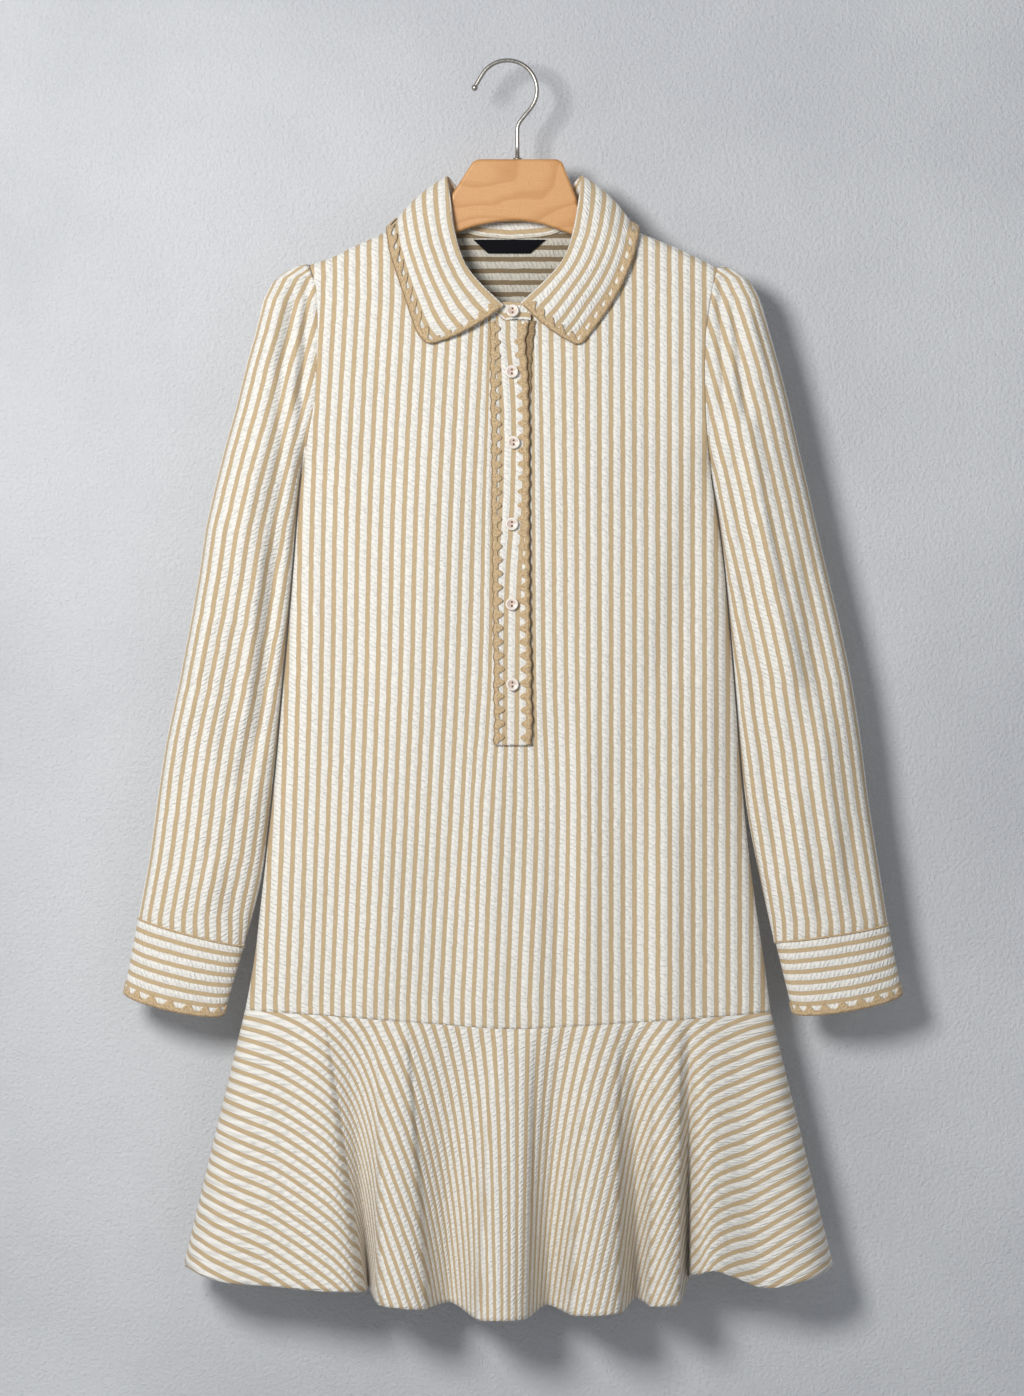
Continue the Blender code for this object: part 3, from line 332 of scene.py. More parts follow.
stripes = seersucker("stripedSeersucker", seersuckerLook)
# a darker copy of the stripes: painted shade for the yoke's inside, which lies in the collar's shade
paintedShadeStripes = seersucker(
    "seersuckerInPaintedShade", dict(seersuckerLook, white=(0.58, 0.55, 0.48), tan=(0.20, 0.142, 0.08)))
beigeTape = tapeCloth("beigeTape", tapeLook)
# a darker copy of the tape: painted shade, for the placket's shadowed slot and the dark rolls along the tape edges
paintedShadeTape = tapeCloth("tapeInPaintedShade", dict(tapeLook, light=(0.36, 0.25, 0.135), dark=(0.20, 0.13, 0.065)))
print("materials made")


# meshes

def added(name, data):
    made = bpy.data.objects.new(name, data)
    bpy.context.scene.collection.objects.link(made)
    return made


def placed(name, mesh, material, slotName):
    made = added(name, mesh)
    mesh.materials.append(material)
    mesh.shade_smooth()
    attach(made, "root")
    return made


def sheetMesh(name, points, weave, closed=False, leftOut=None):
    rows, columns = points.shape[:2]
    span = columns if closed else columns - 1
    r, c = np.meshgrid(np.arange(rows - 1), np.arange(span), indexing="ij")
    d = (c + 1) % columns
    low, high = r * columns, (r + 1) * columns
    faces = joined(low + c, low + d, high + d, high + c)
    corners = np.stack([np.stack([c, r], -1), np.stack([c + 1, r], -1),
                        np.stack([c + 1, r + 1], -1), np.stack([c, r + 1], -1)], axis=2)
    keep = np.ones(faces.shape[:2], bool) if leftOut is None else ~leftOut
    faces, corners = faces[keep], corners[keep] / (span, rows - 1)
    used = np.unique(faces)
    place = np.zeros(rows * columns, int)
    place[used] = np.arange(len(used))
    mesh = bpy.data.meshes.new(name)
    mesh.from_pydata((points.reshape(-1, 3)[used] * mm).tolist(), [], place[faces].tolist())
    held = mesh.attributes.new("weave", "FLOAT_VECTOR", "POINT")
    held.data.foreach_set("vector", weave.reshape(-1, 3)[used].ravel())
    mesh.uv_layers.new(name="OFBake").data.foreach_set("uv", corners.reshape(-1, 2).ravel())
    return mesh


def cloth(name, points, weave, material, slotName, replaced=(), thickness=1.0, closed=False, leftOut=None):
    made = placed(name, sheetMesh(name, points, weave, closed, leftOut), material, slotName)
    thicken = made.modifiers.new("Thickness", "SOLIDIFY")
    thicken.thickness = thickness * mm
    thicken.offset = 0
    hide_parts(*replaced)
    return made


def woven(across, down):    # what the cloth's material reads
    across, down = np.broadcast_arrays(across, down)
    return joined(across, down, 0 * across)


# body

bodyEdges = table(
    "z left right",
    (-807, -221.5, 224.5), (-762, -213.5, 218.5), (-715, -208, 211.5), (-672, -203, 206),
    (-613, -196.5, 200), (-543, -190, 194.5), (-466, -183, 188), (-423, -179.5, 184),
    (-385, -176.5, 179), (-350, -173, 173.5), (-316, -167, 170), (-285, -161.5, 168.5),
    (-247, -160, 168.5), (-213, -159.5, 171), (-192, -161, 175), (-172.5, -166.5, 179.5))
shoulder = table(
    "x z",
    (-200, -186), (-166.5, -172.5), (-149.5, -167), (-132.5, -158.5), (-99.5, -143.5), (-54.5, -123.5),
    (67, -123.5), (111.5, -144.5), (148, -159.5), (179.5, -175), (210, -190))
waistSeam = table(
    "x z", (-221.5, -805), (-141, -810), (-67, -815.5), (3.5, -820), (73, -817), (132, -813.5), (224.5, -807))
body = dict(tipLeft=(-166.5, -172.5), tipRight=(179.5, -175.0), neckLeftX=-54.5, neckRightX=67.0,
            neckTopZ=-123.5, armpitZ=-350.0, topRadius=9.0, frontFull=17.0, backFull=11.0, fullDrop=180.0, sideRound=3.0,
            armholeDepth=0.8, armholeEase=40.0, yokeShare=0.87, seamGap=0.5)
bodyRise = body["tipLeft"][1] - waistSeam["z"][0]
turnRows = 1 - body["topRadius"] * (1 - np.cos(np.linspace(math.pi / 2, 0, 9))) / bodyRise

# folds of the front: a ridge where the height is above 0, a hollow where it is below
bodyFolds = table(
    "x1 z1 x2 z2 left right height",
    (-166, -345, -118, -520, 16, 22, -2.6),
    (170, -345, 130, -540, 22, 16, -2.6),
    (-176, -400, -160, -600, 12, 16, 1.8),
    (182, -400, 168, -620, 16, 12, 1.8),
    (-108, -640, -108, -812, 20, 20, 3.2),
    (-48, -660, -48, -818, 22, 22, -3.0),
    (-13, -600, -13, -822, 17, 17, 2.6),
    (24, -690, 24, -820, 15, 15, 2.2),
    (44, -640, 44, -820, 14, 14, -2.6),
    (66, -560, 66, -820, 18, 14, 3.4),
    (110, -660, 110, -818, 15, 15, -3.0),
    (136, -620, 138, -815, 18, 16, 3.0),
    (-153, -700, -150, -812, 20, 20, -2.2),
    (-60, -330, -88, -620, 34, 30, 2.4),
    (64, -300, 78, -560, 30, 34, 2.2),
    (-118, -215, -112, -420, 20, 26, -1.6),
    (128, -215, 122, -420, 26, 20, -1.6),
    (-140, -185, -120, -300, 12, 16, 1.2),
    (150, -188, 132, -300, 16, 12, 1.2))
backFolds = table(
    "x1 z1 x2 z2 left right height",
    (-152, -300, -110, -480, 18, 24, -2.4), (158, -300, 118, -480, 24, 18, -2.4),
    (-60, -262, -66, -640, 30, 30, 2.6), (72, -262, 78, -640, 30, 30, 2.6),
    (5, -262, 5, -780, 24, 24, -2.4), (-104, -620, -112, -810, 22, 20, 2.6),
    (118, -620, 122, -810, 22, 20, 2.6), (-40, -640, -42, -814, 20, 20, 2.4),
    (46, -640, 46, -814, 20, 20, 2.4))


def shoulderZ(x):
    return np.interp(x, shoulder["x"], shoulder["z"])


def edgeX(side, z):
    return through(bodyEdges["z"], bodyEdges["left" if side < 0 else "right"], z)


def depth(x, z, face, off=0.0):
    radius = body["topRadius"] + off
    down = shoulderZ(x) + off - z
    turn = radius - np.clip(down, 0, radius)
    full = body["frontFull"] if face < 0 else body["backFull"]
    swell = full * (1 - np.exp(-np.clip(down - radius, 0, None) / body["fullDrop"]))
    return np.sqrt(np.clip(radius ** 2 - turn ** 2, 0, None)) + swell


def bodyY(x, z, face, out=0.0):
    left, right = edgeX(-1, z), edgeX(1, z)
    across = np.clip(np.abs(2 * (x - left) / (right - left) - 1), 0, 1)
    turn = (1 - across ** body["sideRound"]) ** (1 / body["sideRound"])
    openShare = body["armholeDepth"] * ease((z - body["armpitZ"]) / body["armholeEase"])
    return face * (depth(x, z, face) * (openShare + (1 - openShare) * turn) + body["seamGap"] / 2 + out)


def foldY(x, z, face):    # the main creases and a little unevenness, fading at the edges and top
    left, right = edgeX(-1, z), edgeX(1, z)
    inside = ease(np.minimum(x - left, right - x) / 26)
    below = ease((shoulderZ(x) - z - 8) / 40)
    lift = creased(x, z, bodyFolds if face < 0 else backFolds)
    lift = lift + 0.55 * uneven(x, z * 0.5, 60, 3 if face < 0 else 4)
    return lift * inside * below


def bodyGrid(us, vs):
    u, v = np.meshgrid(us, vs)
    riseLeft = mix(waistSeam["z"][0], body["tipLeft"][1], v)
    riseRight = mix(waistSeam["z"][-1], body["tipRight"][1], v)
    x = mix(edgeX(-1, riseLeft), edgeX(1, riseRight), u)
    foot = through(waistSeam["x"], waistSeam["z"], mix(bodyEdges["left"][0], bodyEdges["right"][0], u))
    level = mix(body["tipLeft"][1], body["tipRight"][1], u)
    head = shoulderZ(mix(body["tipLeft"][0], body["tipRight"][0], u))
    rise = (head - level) * ease((v - body["yokeShare"]) / (turnRows[0] - body["yokeShare"]))
    return x, mix(foot, level, v) + rise


def inOutline(x, z, outline):
    inside = np.zeros(x.shape, bool)
    for (ax, az), (bx, bz) in zip(outline, outline[1:] + outline[:1]):
        if az != bz:
            crosses = (az > z) != (bz > z)
            inside ^= crosses & (x < ax + (z - az) * (bx - ax) / (bz - az))
    return inside


def toOutline(x, z, line):    # the nearest points on an open line
    best = np.full(x.shape, 1e9)
    newX, newZ = x.copy(), z.copy()
    for (ax, az), (bx, bz) in zip(line, line[1:]):
        run = max((bx - ax) ** 2 + (bz - az) ** 2, 1e-9)
        t = np.clip(((x - ax) * (bx - ax) + (z - az) * (bz - az)) / run, 0, 1)
        nearX, nearZ = ax + t * (bx - ax), az + t * (bz - az)
        away = np.hypot(x - nearX, z - nearZ)
        closer = away < best
        best = np.where(closer, away, best)
        newX, newZ = np.where(closer, nearX, newX), np.where(closer, nearZ, newZ)
    return newX, newZ


def openNeck(x, z, line):    # takes the neck out of a grid and brings its edge to the line
    above = body["neckTopZ"] + 20
    outline = [(body["neckLeftX"], above)] + line + [(body["neckRightX"], above)]
    inside = inOutline(x, z, outline)
    gone = inside[:-1, :-1] & inside[1:, :-1] & inside[:-1, 1:] & inside[1:, 1:]
    nearX, nearZ = toOutline(x, z, line)
    return np.where(inside, nearX, x), np.where(inside, nearZ, z), gone


# collar rows, from the centre of the back round to the front end: the neck seam, the top of the
# stand where the collar folds, and the collar's outer edge
collarLeft = table(
    "neckX neckZ foldX foldY foldZ edgeX edgeY edgeZ",
    (5, -148, 5, 12, -120, 5, 19, -164), (-26.5, -144.5, -24.5, 11, -116.5, -46, 19, -162.5),
    (-45, -135, -41.5, 7, -105.5, -79, 14, -156), (-54.5, -123.5, -49.5, -1, -98.5, -99.5, 0, -141),
    (-51, -139.5, -47.5, -9, -115, -99.5, -13, -160), (-46, -160.5, -43.5, -12.5, -145.5, -92, -16, -184.5),
    (-35.5, -184.5, -35.5, -15, -172.5, -84, -17, -208), (-18.5, -206, -22, -17, -191, -76, -18, -230.5),
    (0, -220.5, -2.5, -18.5, -210, -67, -18, -241.5))
collarRight = table(
    "neckX neckZ foldX foldY foldZ edgeX edgeY edgeZ",
    (5, -148, 5, 12, -120, 5, 19, -164), (37.5, -144.5, 38, 11, -116.5, 58.5, 19, -162.5),
    (57, -135, 55, 7, -105.5, 91, 14, -156), (67, -123.5, 64, -1, -98, 112, 0, -142),
    (64, -139.5, 62, -9, -116.5, 110, -13, -160.5), (58, -160.5, 57, -12.5, -145.5, 103, -16, -181),
    (47.5, -184.5, 49.5, -15, -168.5, 92.5, -17, -202), (33, -206, 35, -17, -187, 78.5, -18, -223),
    (12, -220.5, 13, -18.5, -208, 63, -18, -243))


def neckLine(stations):
    left, right = ([(float(along(rows, "neckX", s)), float(along(rows, "neckZ", s))) for s in stations]
                   for rows in (collarLeft, collarRight))
    return left + right[::-1]


def acrossShares(count, crowd):    # places across a panel, closer at its two sides
    t = np.linspace(-1, 1, count)
    return 0.5 + 0.5 * np.sign(t) * (1 - (1 - np.abs(t)) ** crowd)


# how far the front's stripes drift sideways going down: at the side seam, near the placket and
# at both its edges. From rightPlace on the right half is cut straight
stripeStart = 31.1
stripeDrift = table(
    "z side inner placketLeft placketRight",
    (-796, 15.5, 25.5, 26.5, 28.5), (-626, 9, 15.5, 19, 22.5), (-541, 6.5, 11, 11.5, 25.5),
    (-371, 4, 5.5, 6.5, 27.5), (-201, -5, -3, -2.5, 30.5))
driftPlaces = dict(side=-165, inner=-35, placketLeft=-20, placketRight=30)
rightPlace, rightDrift = 80, 28.5


def frontAcross(x, z):
    places = list(driftPlaces.values()) + [rightPlace]
    drifts = [through(stripeDrift["z"], stripeDrift[name], z) for name in driftPlaces] + [rightDrift]
    shift = drifts[0]
    for start, end, drift in zip(places, places[1:], drifts[1:]):
        shift = mix(shift, drift, np.clip((x - start) / (end - start), 0, 1))
    return x + shift + stripeStart


def makeBody():
    highRows = np.concatenate([np.linspace(body["yokeShare"], turnRows[0], 46)[1:-1], turnRows])
    lowRows = np.linspace(0, body["yokeShare"], 190)
    x, z = bodyGrid(acrossShares(172, 1.5), np.concatenate([lowRows, highRows]))
    x, z, gone = openNeck(x, z, neckLine(np.linspace(3, 8, 60)))
    front = joined(x, bodyY(x, z, -1, foldY(x, z, -1)), z)
    made = cloth("frontPanel", front, woven(frontAcross(x, z), z), stripes, "striped_seersucker",
                 ["front_panel"], leftOut=gone)

    x, z = bodyGrid(acrossShares(150, 1.5), np.linspace(0, body["yokeShare"] + 0.006, 170))
    tuck = 1.3 * ease((z + 262) / 4)    # its top edge goes in under the yoke
    back = joined(x, bodyY(x, z, 1, foldY(x, z, 1) - tuck), z)
    made = cloth("backPanel", back, woven(x, z), stripes, "striped_seersucker", ["back_panel"])

    x, z = bodyGrid(acrossShares(150, 1.5), np.concatenate([[body["yokeShare"]], highRows]))
    x, z, gone = openNeck(x, z, neckLine(np.linspace(3, 0, 60)))
    yoke = joined(x, bodyY(x, z, 1, 0.4 * uneven(x, z, 50, 5) * ease((-z - 150) / 60)), z)
    made = cloth("backYoke", yoke, woven(z + 156.4, x), paintedShadeStripes, "striped_seersucker", ["back_yoke"],
                 leftOut=gone)
    made.data.materials.append(stripes)    # outside; the inside has the darker copy, painted shade for the collar's shade
    made.modifiers["Thickness"].material_offset = made.modifiers["Thickness"].material_offset_rim = 1


makeBody()
print("body made")


# flounce: for each fold of the hem its two edges, depths and drops, where its edges leave the
# waist, and the hollow after it
hemColumns = ("left right depthLeft depthRight zLeft zRight topLeft topRight turnLeft turnRight "
              "hollowX hollowDepth hollowZ")
frontHem = table(
    hemColumns,
    (-270, -119, 22, 46, -1027, -1044, -219, -153, -88, -50, -117, 2, -1042),
    (-110, -63, 47, 46, -1052, -1051, -108, -83, -28, -18, -47, 3, -1048),
    (-28, 21, 48, 48, -1058, -1057, -13.5, 24.5, -10, 2, 34, 3, -1050),
    (51, 100, 48, 48, -1055.5, -1056, 64.5, 97, 12, 24, 110, 2, -1048),
    (119.5, 148, 44, 44, -1052, -1052, 124, 149.5, 36, 45, 155, 3, -1034),
    (157, 274, 38, 22, -1029, -1029, 160, 222, 52, 88, 276, 6, -1027))
backHem = table(
    hemColumns,
    (-270, -186, 20, 30, -1026, -1034, -219, -168, -88, -64, -175, 4, -1036),
    (-164, -100, 34, 34, -1038, -1043, -142, -96, -52, -34, -86, 3, -1044),
    (-72, -14, 36, 36, -1047, -1048, -66, -20, -24, -7, 3, 3, -1048),
    (18, 76, 36, 36, -1049, -1047, 22, 68, 4, 20, 92, 3, -1044),
    (106, 168, 34, 34, -1042, -1031, 98, 142, 32, 50, 180, 4, -1026),
    (192, 273, 30, 20, -1027, -1026, 168, 222, 62, 88, 276, 6, -1026))
hemSway = table("x lift", (-273, 5), (-255, 0), (-240, -2), (-194, -1), (-157, 0), (-119, 2), (-105, 0),
                (140, 0), (157, 1), (175, 6), (191, 1), (215, -9), (250, -4), (274, 4))
flounce = dict(hemLeft=(-273, -1024), hemRight=(277.5, -1026), foldEase=0.85, depth=245.0, rounding=7.0,
               centre=8.0, tuck=5.0, tuckIn=1.6)


def hemCurve(folds, face):
    points = [(flounce["hemLeft"][0], 0, flounce["hemLeft"][1], waistSeam["x"][0], folds["turnLeft"][0])]
    for i in range(len(folds["left"])):
        f = {name: column[i] for name, column in folds.items()}
        near = min(0.14, flounce["rounding"] / (f["right"] - f["left"]))
        for share, reach in ((0, 0.5), (near, 0.92), (0.5, 1.03), (1 - near, 0.92), (1, 0.5)):
            x, y, z, top, turn = (mix(f[first], f[last], share) for first, last in (
                ("left", "right"), ("depthLeft", "depthRight"), ("zLeft", "zRight"),
                ("topLeft", "topRight"), ("turnLeft", "turnRight")))
            points.append((x, reach * y, z, top, turn))
        after = np.append(folds["topLeft"], waistSeam["x"][-1])[i + 1]
        turned = np.append(folds["turnLeft"], 90)[i + 1]
        points.append((f["hollowX"], f["hollowDepth"], f["hollowZ"], (f["topRight"] + after) / 2,
                       (f["turnRight"] + turned) / 2))
    points.append((flounce["hemRight"][0], 0, flounce["hemRight"][1], waistSeam["x"][-1], 90))
    points = np.array(points) * (1, face, 1, 1, 1)
    path = lengths(points[:, :2])
    fine = np.linspace(0, path[-1], 1500)
    shape = [through(path, points[:, k], fine) for k in range(2)]
    hemZ = np.interp(fine, path, points[:, 2])
    shape.append(np.convolve(np.pad(hemZ, 5, mode="edge"), np.ones(11) / 11, "valid"))
    if face < 0:
        shape[2] = shape[2] + through(hemSway["x"], hemSway["lift"], shape[0])
    return np.stack(shape + [np.interp(fine, path, points[:, k]) for k in (3, 4)], axis=-1)


def spaced(curve, shares):
    path = lengths(curve[:, :3])
    return np.stack([np.interp(shares * path[-1], path, column) for column in curve.T], axis=-1)


def makeFlounce(name, node, face, folds, columns, rows):
    hem = spaced(hemCurve(folds, face), np.linspace(0, 1, columns))
    u = (1 - np.cos(np.linspace(0, math.pi, 900))) / 2
    waistX, waistZ = (part[0] for part in bodyGrid(u, [0.0]))
    waist = joined(waistX, bodyY(waistX, waistZ, face, foldY(waistX, waistZ, face)), waistZ)
    path = lengths(waist)
    top = spaced(waist, np.interp(hem[:, 3], waist[:, 0], path / path[-1]))
    turn = np.radians(hem[:, 4])    # how far the cut has turned the stripes
    start = np.concatenate([[0], np.cumsum(np.cos((turn[1:] + turn[:-1]) / 2) * np.diff(lengths(top)))])
    start = start - np.interp(flounce["centre"], top[:, 0], start) + flounce["centre"]
    hem = hem[:, :3]
    down = np.concatenate([[-flounce["tuck"] / flounce["depth"], -0.004], np.linspace(0, 1, rows)])[:, None]
    inside = np.clip(down, 0, None)
    x = mix(top[:, 0], hem[:, 0], down)
    plain = mix(top[:, 1], hem[:, 1], inside ** flounce["foldEase"]) - face * flounce["tuckIn"] * (down < 0)
    z = mix(top[:, 2], hem[:, 2], down)
    y = plain + face * 1.5 * uneven(x, z * 0.35, 55, 11 if face < 0 else 12) * ease(inside * 1.5)
    ends = ease(np.minimum(np.arange(columns), np.arange(columns)[::-1]) / 14)
    y = mix(plain, y, ends)
    across = start + down * flounce["depth"] * np.sin(turn)
    made = cloth(name, joined(x, y, z), woven(across + stripeStart, down * flounce["depth"]),
                 stripes, "striped_seersucker", [node])


makeFlounce("flounceFront", "flounce_front", -1, frontHem, 430, 66)
makeFlounce("flounceBack", "flounce_back", 1, backHem, 360, 50)
print("flounce made")


# sleeves: a row for each ring, down the outside and beside the body
sleeveLeft = table(
    "outerX outerZ innerZ apart half",
    (-166.5, -172.5, -350, 1.8, 9), (-182, -174, -355, 2.0, 15), (-196.5, -184, -359, 2.0, 18),
    (-205.5, -203, -364, 2.0, 20), (-212.5, -231, -371, 2.1, 21), (-220, -256.5, -380, 2.2, 22),
    (-229.5, -295, -391, 2.2, 23), (-239, -329, -406, 2.2, 23), (-247.5, -363, -423, 2.2, 23),
    (-255, -397, -442, 2.2, 23), (-260.5, -435, -466, 2.2, 23), (-268, -477.5, -500, 2.2, 23),
    (-277, -524.5, -544, 2.2, 23), (-288, -575.5, -594, 2.2, 22), (-296, -626.5, -645, 2.2, 21),
    (-303, -677.5, -697, 3, 20), (-312, -726, -749.5, 11, 17))
sleeveRight = table(
    "outerX outerZ innerZ apart half",
    (179.5, -175, -350, 1.8, 9), (193, -174, -355, 2.0, 15), (206, -184, -359, 2.0, 18),
    (214.5, -202, -364, 2.0, 20), (223, -229.5, -371, 2.1, 21), (231, -256.5, -380, 2.2, 22),
    (241, -295, -391, 2.2, 23), (248.5, -329, -407, 2.2, 23), (256.5, -363, -424, 2.2, 23),
    (264, -397, -444, 2.2, 23), (273, -435, -468, 2.2, 23), (283, -477.5, -500, 2.2, 23),
    (293, -524.5, -543, 2.2, 23), (301, -575.5, -592, 2.2, 22), (307.5, -626.5, -641, 3.5, 21),
    (315.5, -677.5, -694, 8, 20), (324, -731, -745.5, 12, 17))
sleeve = dict(pleats=4, pleatHeight=5.0, pleatSpread=0.42, pleatRings=6.0, cuffBow=2.4, tuckIn=1.4)
sleeveFoldsLeft = table(
    "x1 z1 x2 z2 left right height",
    (-179, -196, -194, -300, 5, 5, -4.5),
    (-168, -186, -174, -300, 4, 5, -5.0),
    (-187, -192, -206, -270, 5, 8, 2.6),
    (-173, -200, -184, -330, 5, 5, 3.0),
    (-188, -290, -194, -400, 8, 10, -6.5),
    (-194, -400, -208, -560, 8, 9, -9.5),
    (-208, -560, -226, -630, 8, 10, -8.0),
    (-226, -630, -250, -680, 8, 9, -4.5),
    (-206, -400, -222, -570, 7, 6, 3.5),
    (-222, -610, -245, -668, 9, 7, 5.0),
    (-245, -668, -257, -722, 8, 6, 4.0),
    (-240, -380, -251, -470, 7, 14, 4.2),
    (-251, -470, -262, -530, 6, 14, 5.0),
    (-262, -530, -291, -622, 7, 13, 4.6),
    (-226, -470, -238, -600, 12, 9, -3.4),
    (-270, -640, -287, -720, 8, 8, -2.6),
    (-240, -690, -247, -745, 6, 6, 2.6),
    (-214, -340, -226, -440, 9, 9, 3.2),
    (-285, -690, -293, -728, 5, 5, 2.2),
    (-262, -700, -268, -738, 5, 5, -2.0))
sleeveFoldsRight = table(
    "x1 z1 x2 z2 left right height",
    (191, -196, 204, -300, 5, 5, -4.5),
    (182, -188, 186, -300, 5, 4, -5.0),
    (199, -190, 219, -268, 8, 5, 2.6),
    (186, -200, 196, -330, 5, 5, 3.0),
    (203, -303, 214, -374, 7, 8, 4.6),
    (214, -374, 229, -458, 6, 8, 5.4),
    (229, -458, 244, -530, 7, 9, 4.6),
    (192, -330, 201, -430, 8, 7, -5.5),
    (201, -430, 216, -560, 8, 7, -7.0),
    (216, -560, 230, -680, 9, 8, -5.5),
    (252, -420, 266, -540, 14, 9, -3.6),
    (262, -560, 280, -690, 12, 9, 3.6),
    (246, -610, 256, -730, 8, 8, 2.8),
    (288, -650, 300, -730, 8, 8, -2.4),
    (234, -690, 240, -744, 6, 6, 2.4),
    (266, -700, 272, -738, 6, 6, -2.2))


def sleeveGrid(side, stations, turns):
    rows = sleeveLeft if side < 0 else sleeveRight
    k, w = np.meshgrid(stations, turns, indexing="ij")
    outerX, outerZ, innerZ, apart, half = (
        along(rows, name, k) for name in ("outerX", "outerZ", "innerZ", "apart", "half"))
    innerX = edgeX(side, innerZ) + side * apart
    out, round_ = np.cos(math.pi * w), np.sin(math.pi * w)
    share = (1 - out) / 2
    x, z = mix(outerX, innerX, share), mix(outerZ, innerZ, share)
    y = half * np.sign(round_) * np.abs(round_) ** 0.85
    z = z - sleeve["cuffBow"] * np.abs(round_) * ease((k - len(rows["half"]) + 3) / 2)

    tip = body["tipLeft"] if side < 0 else body["tipRight"]
    loopZ = mix(tip[1], body["armpitZ"], share)
    face = np.where(w < 0, -1, 1)
    edge = edgeX(side, loopZ)
    loopY = np.where(face < 0, bodyY(edge, loopZ, -1), bodyY(edge, loopZ, 1))
    loopY = np.where(np.abs(w) < 1e-9, 0, loopY)
    loopX = edge + side * mix(1.3, 2.2, share ** 3)
    leave = ease(k / 3.0)
    x, y, z = mix(loopX, x, leave), mix(loopY, y, leave), mix(loopZ, z, leave)

    near = np.clip(1 - np.abs(w) / sleeve["pleatSpread"], 0, 1) ** 0.5
    wave = np.abs(np.sin(math.pi * (w / sleeve["pleatSpread"] + 1) * sleeve["pleats"] / 2)) ** 0.7
    fade = ease(k / 0.8) * np.clip(1 - k / sleeve["pleatRings"], 0, 1)
    lift = sleeve["pleatHeight"] * near * wave * fade
    x = x + side * lift * 0.7 * np.abs(out)
    y = y + face * lift * 0.5
    z = z + lift * 0.7 * np.clip(1 - k / 3, 0, 1)
    calm = ease(k / 1.2) * ease((len(rows["half"]) - 1 - k) / 0.7) * face
    folds = creased(x, z, sleeveFoldsLeft if side < 0 else sleeveFoldsRight)
    y = y + 0.7 * uneven(x, z * 0.3, 55, 21 + side) * np.abs(round_) ** 0.6 * calm
    return x, y, z, y + folds * np.abs(round_) ** 0.45 * calm


def sleeveAcross(side, x, z, y):    # mm round from the outer line, for the stripes
    rows = sleeveLeft if side < 0 else sleeveRight
    outer = np.interp(-z, -rows["outerZ"], rows["outerX"])
    low = body["armpitZ"]
    beside = side * (outer - edgeX(side, np.minimum(z, low))) - np.interp(-z, -rows["innerZ"], rows["apart"])
    atArmpit = side * (np.interp(-low, -rows["outerZ"], rows["outerX"]) - edgeX(side, low)) - 2.0
    wide = np.where(z < low, beside, mix(atArmpit, 78, (z - low) / 175)) * math.cos(math.radians(15))
    share = np.clip(side * (outer - x) * math.cos(math.radians(15)) / wide, 0, 1)
    angle = np.arccos(1 - 2 * share)
    a, b = wide / 2, 20.0
    even = np.sqrt((a * a + b * b) / 2)
    return np.where(y < 0, 1, -1) * (even * angle - (a * a - b * b) / (8 * even) * np.sin(2 * angle))


def takenUp(x, y, z, folded):    # cloth the folds use, counted round from the outer line
    plain, real = (np.linalg.norm(np.diff(np.stack([x, across, z]), axis=2), axis=0)
                   for across in (y, folded))
    used = np.concatenate([np.zeros((len(x), 1)), np.cumsum(real - plain, axis=1)], axis=1)
    return used - used[:, x.shape[1] // 2][:, None]


def makeSleeve(side, name, node):
    turns = np.linspace(-1, 1, 133)[:-1]
    turns = np.sign(turns) * np.abs(turns) ** 1.15
    stations = np.concatenate([np.linspace(0, 6, 62)[:-1], np.linspace(6, 16, 92)])
    x, flat, z, y = sleeveGrid(side, stations, turns)
    weave = woven(sleeveAcross(side, x, z, flat) - 0.35 * takenUp(x, flat, z, y) + 2.5, -z)
    first = joined(x[0] - side * 2.6, y[0] * 0.9, z[0] - 0.8 * (x[0] == x[0].max()))
    last = joined(x[-1], y[-1] * 0.9, z[-1] - 3.0)    # both ends go in under the seams
    points = np.concatenate([first[None], joined(x, y, z), last[None]])
    weave = np.concatenate([weave[:1], weave, weave[-1:]])
    made = cloth(name, points, weave, stripes, "striped_seersucker", [node], closed=True)


makeSleeve(-1, "sleeveLeft", "sleeve_left")
makeSleeve(1, "sleeveRight", "sleeve_right")
print("sleeves made")


# cuffs
cuffRows = table(
    "side topOuterX topOuterZ topInnerX topInnerZ outerX outerZ innerX innerZ",
    (-1, -312.1, -726.5, -223, -750, -324, -789.5, -240, -808),
    (1, 324.1, -731.5, 229.1, -746, 336, -790.5, 244, -806.5))
cuff = dict(half=17.0, topBow=2.4, lowBow=6.4, height=64.0, stripes=7.0)
tape = dict(band=3.4, tooth=5.3, pitch=11.65, lift=1.05, roll=0.7, steps=14)


def cuffGrid(side, levels, turns, out=0.0):
    c = {name: column[0 if side < 0 else 1] for name, column in cuffRows.items()}
    v, w = np.broadcast_arrays(levels, turns)
    share = (1 - np.cos(math.pi * w)) / 2
    round_ = np.sin(math.pi * w)
    x = mix(mix(c["topOuterX"], c["outerX"], v), mix(c["topInnerX"], c["innerX"], v), share)
    z = mix(mix(c["topOuterZ"], c["outerZ"], v), mix(c["topInnerZ"], c["innerZ"], v), share)
    z = z - mix(cuff["topBow"], cuff["lowBow"], v) * np.abs(round_)
    x = x + out * side * np.cos(math.pi * w)
    y = np.sign(round_) * (cuff["half"] * np.abs(round_) ** 0.85 + out * np.abs(round_) ** 0.4)
    y = y + np.sign(round_) * 0.5 * uneven(x, z, 40, 31) * np.abs(round_)
    return joined(x, y, z)


def toothed(phase):    # rounded teeth, 0 to 1
    return np.sin(np.clip(1 - np.abs(phase % 1 - 0.5) / 0.33, 0, 1) * math.pi / 2) ** 1.05


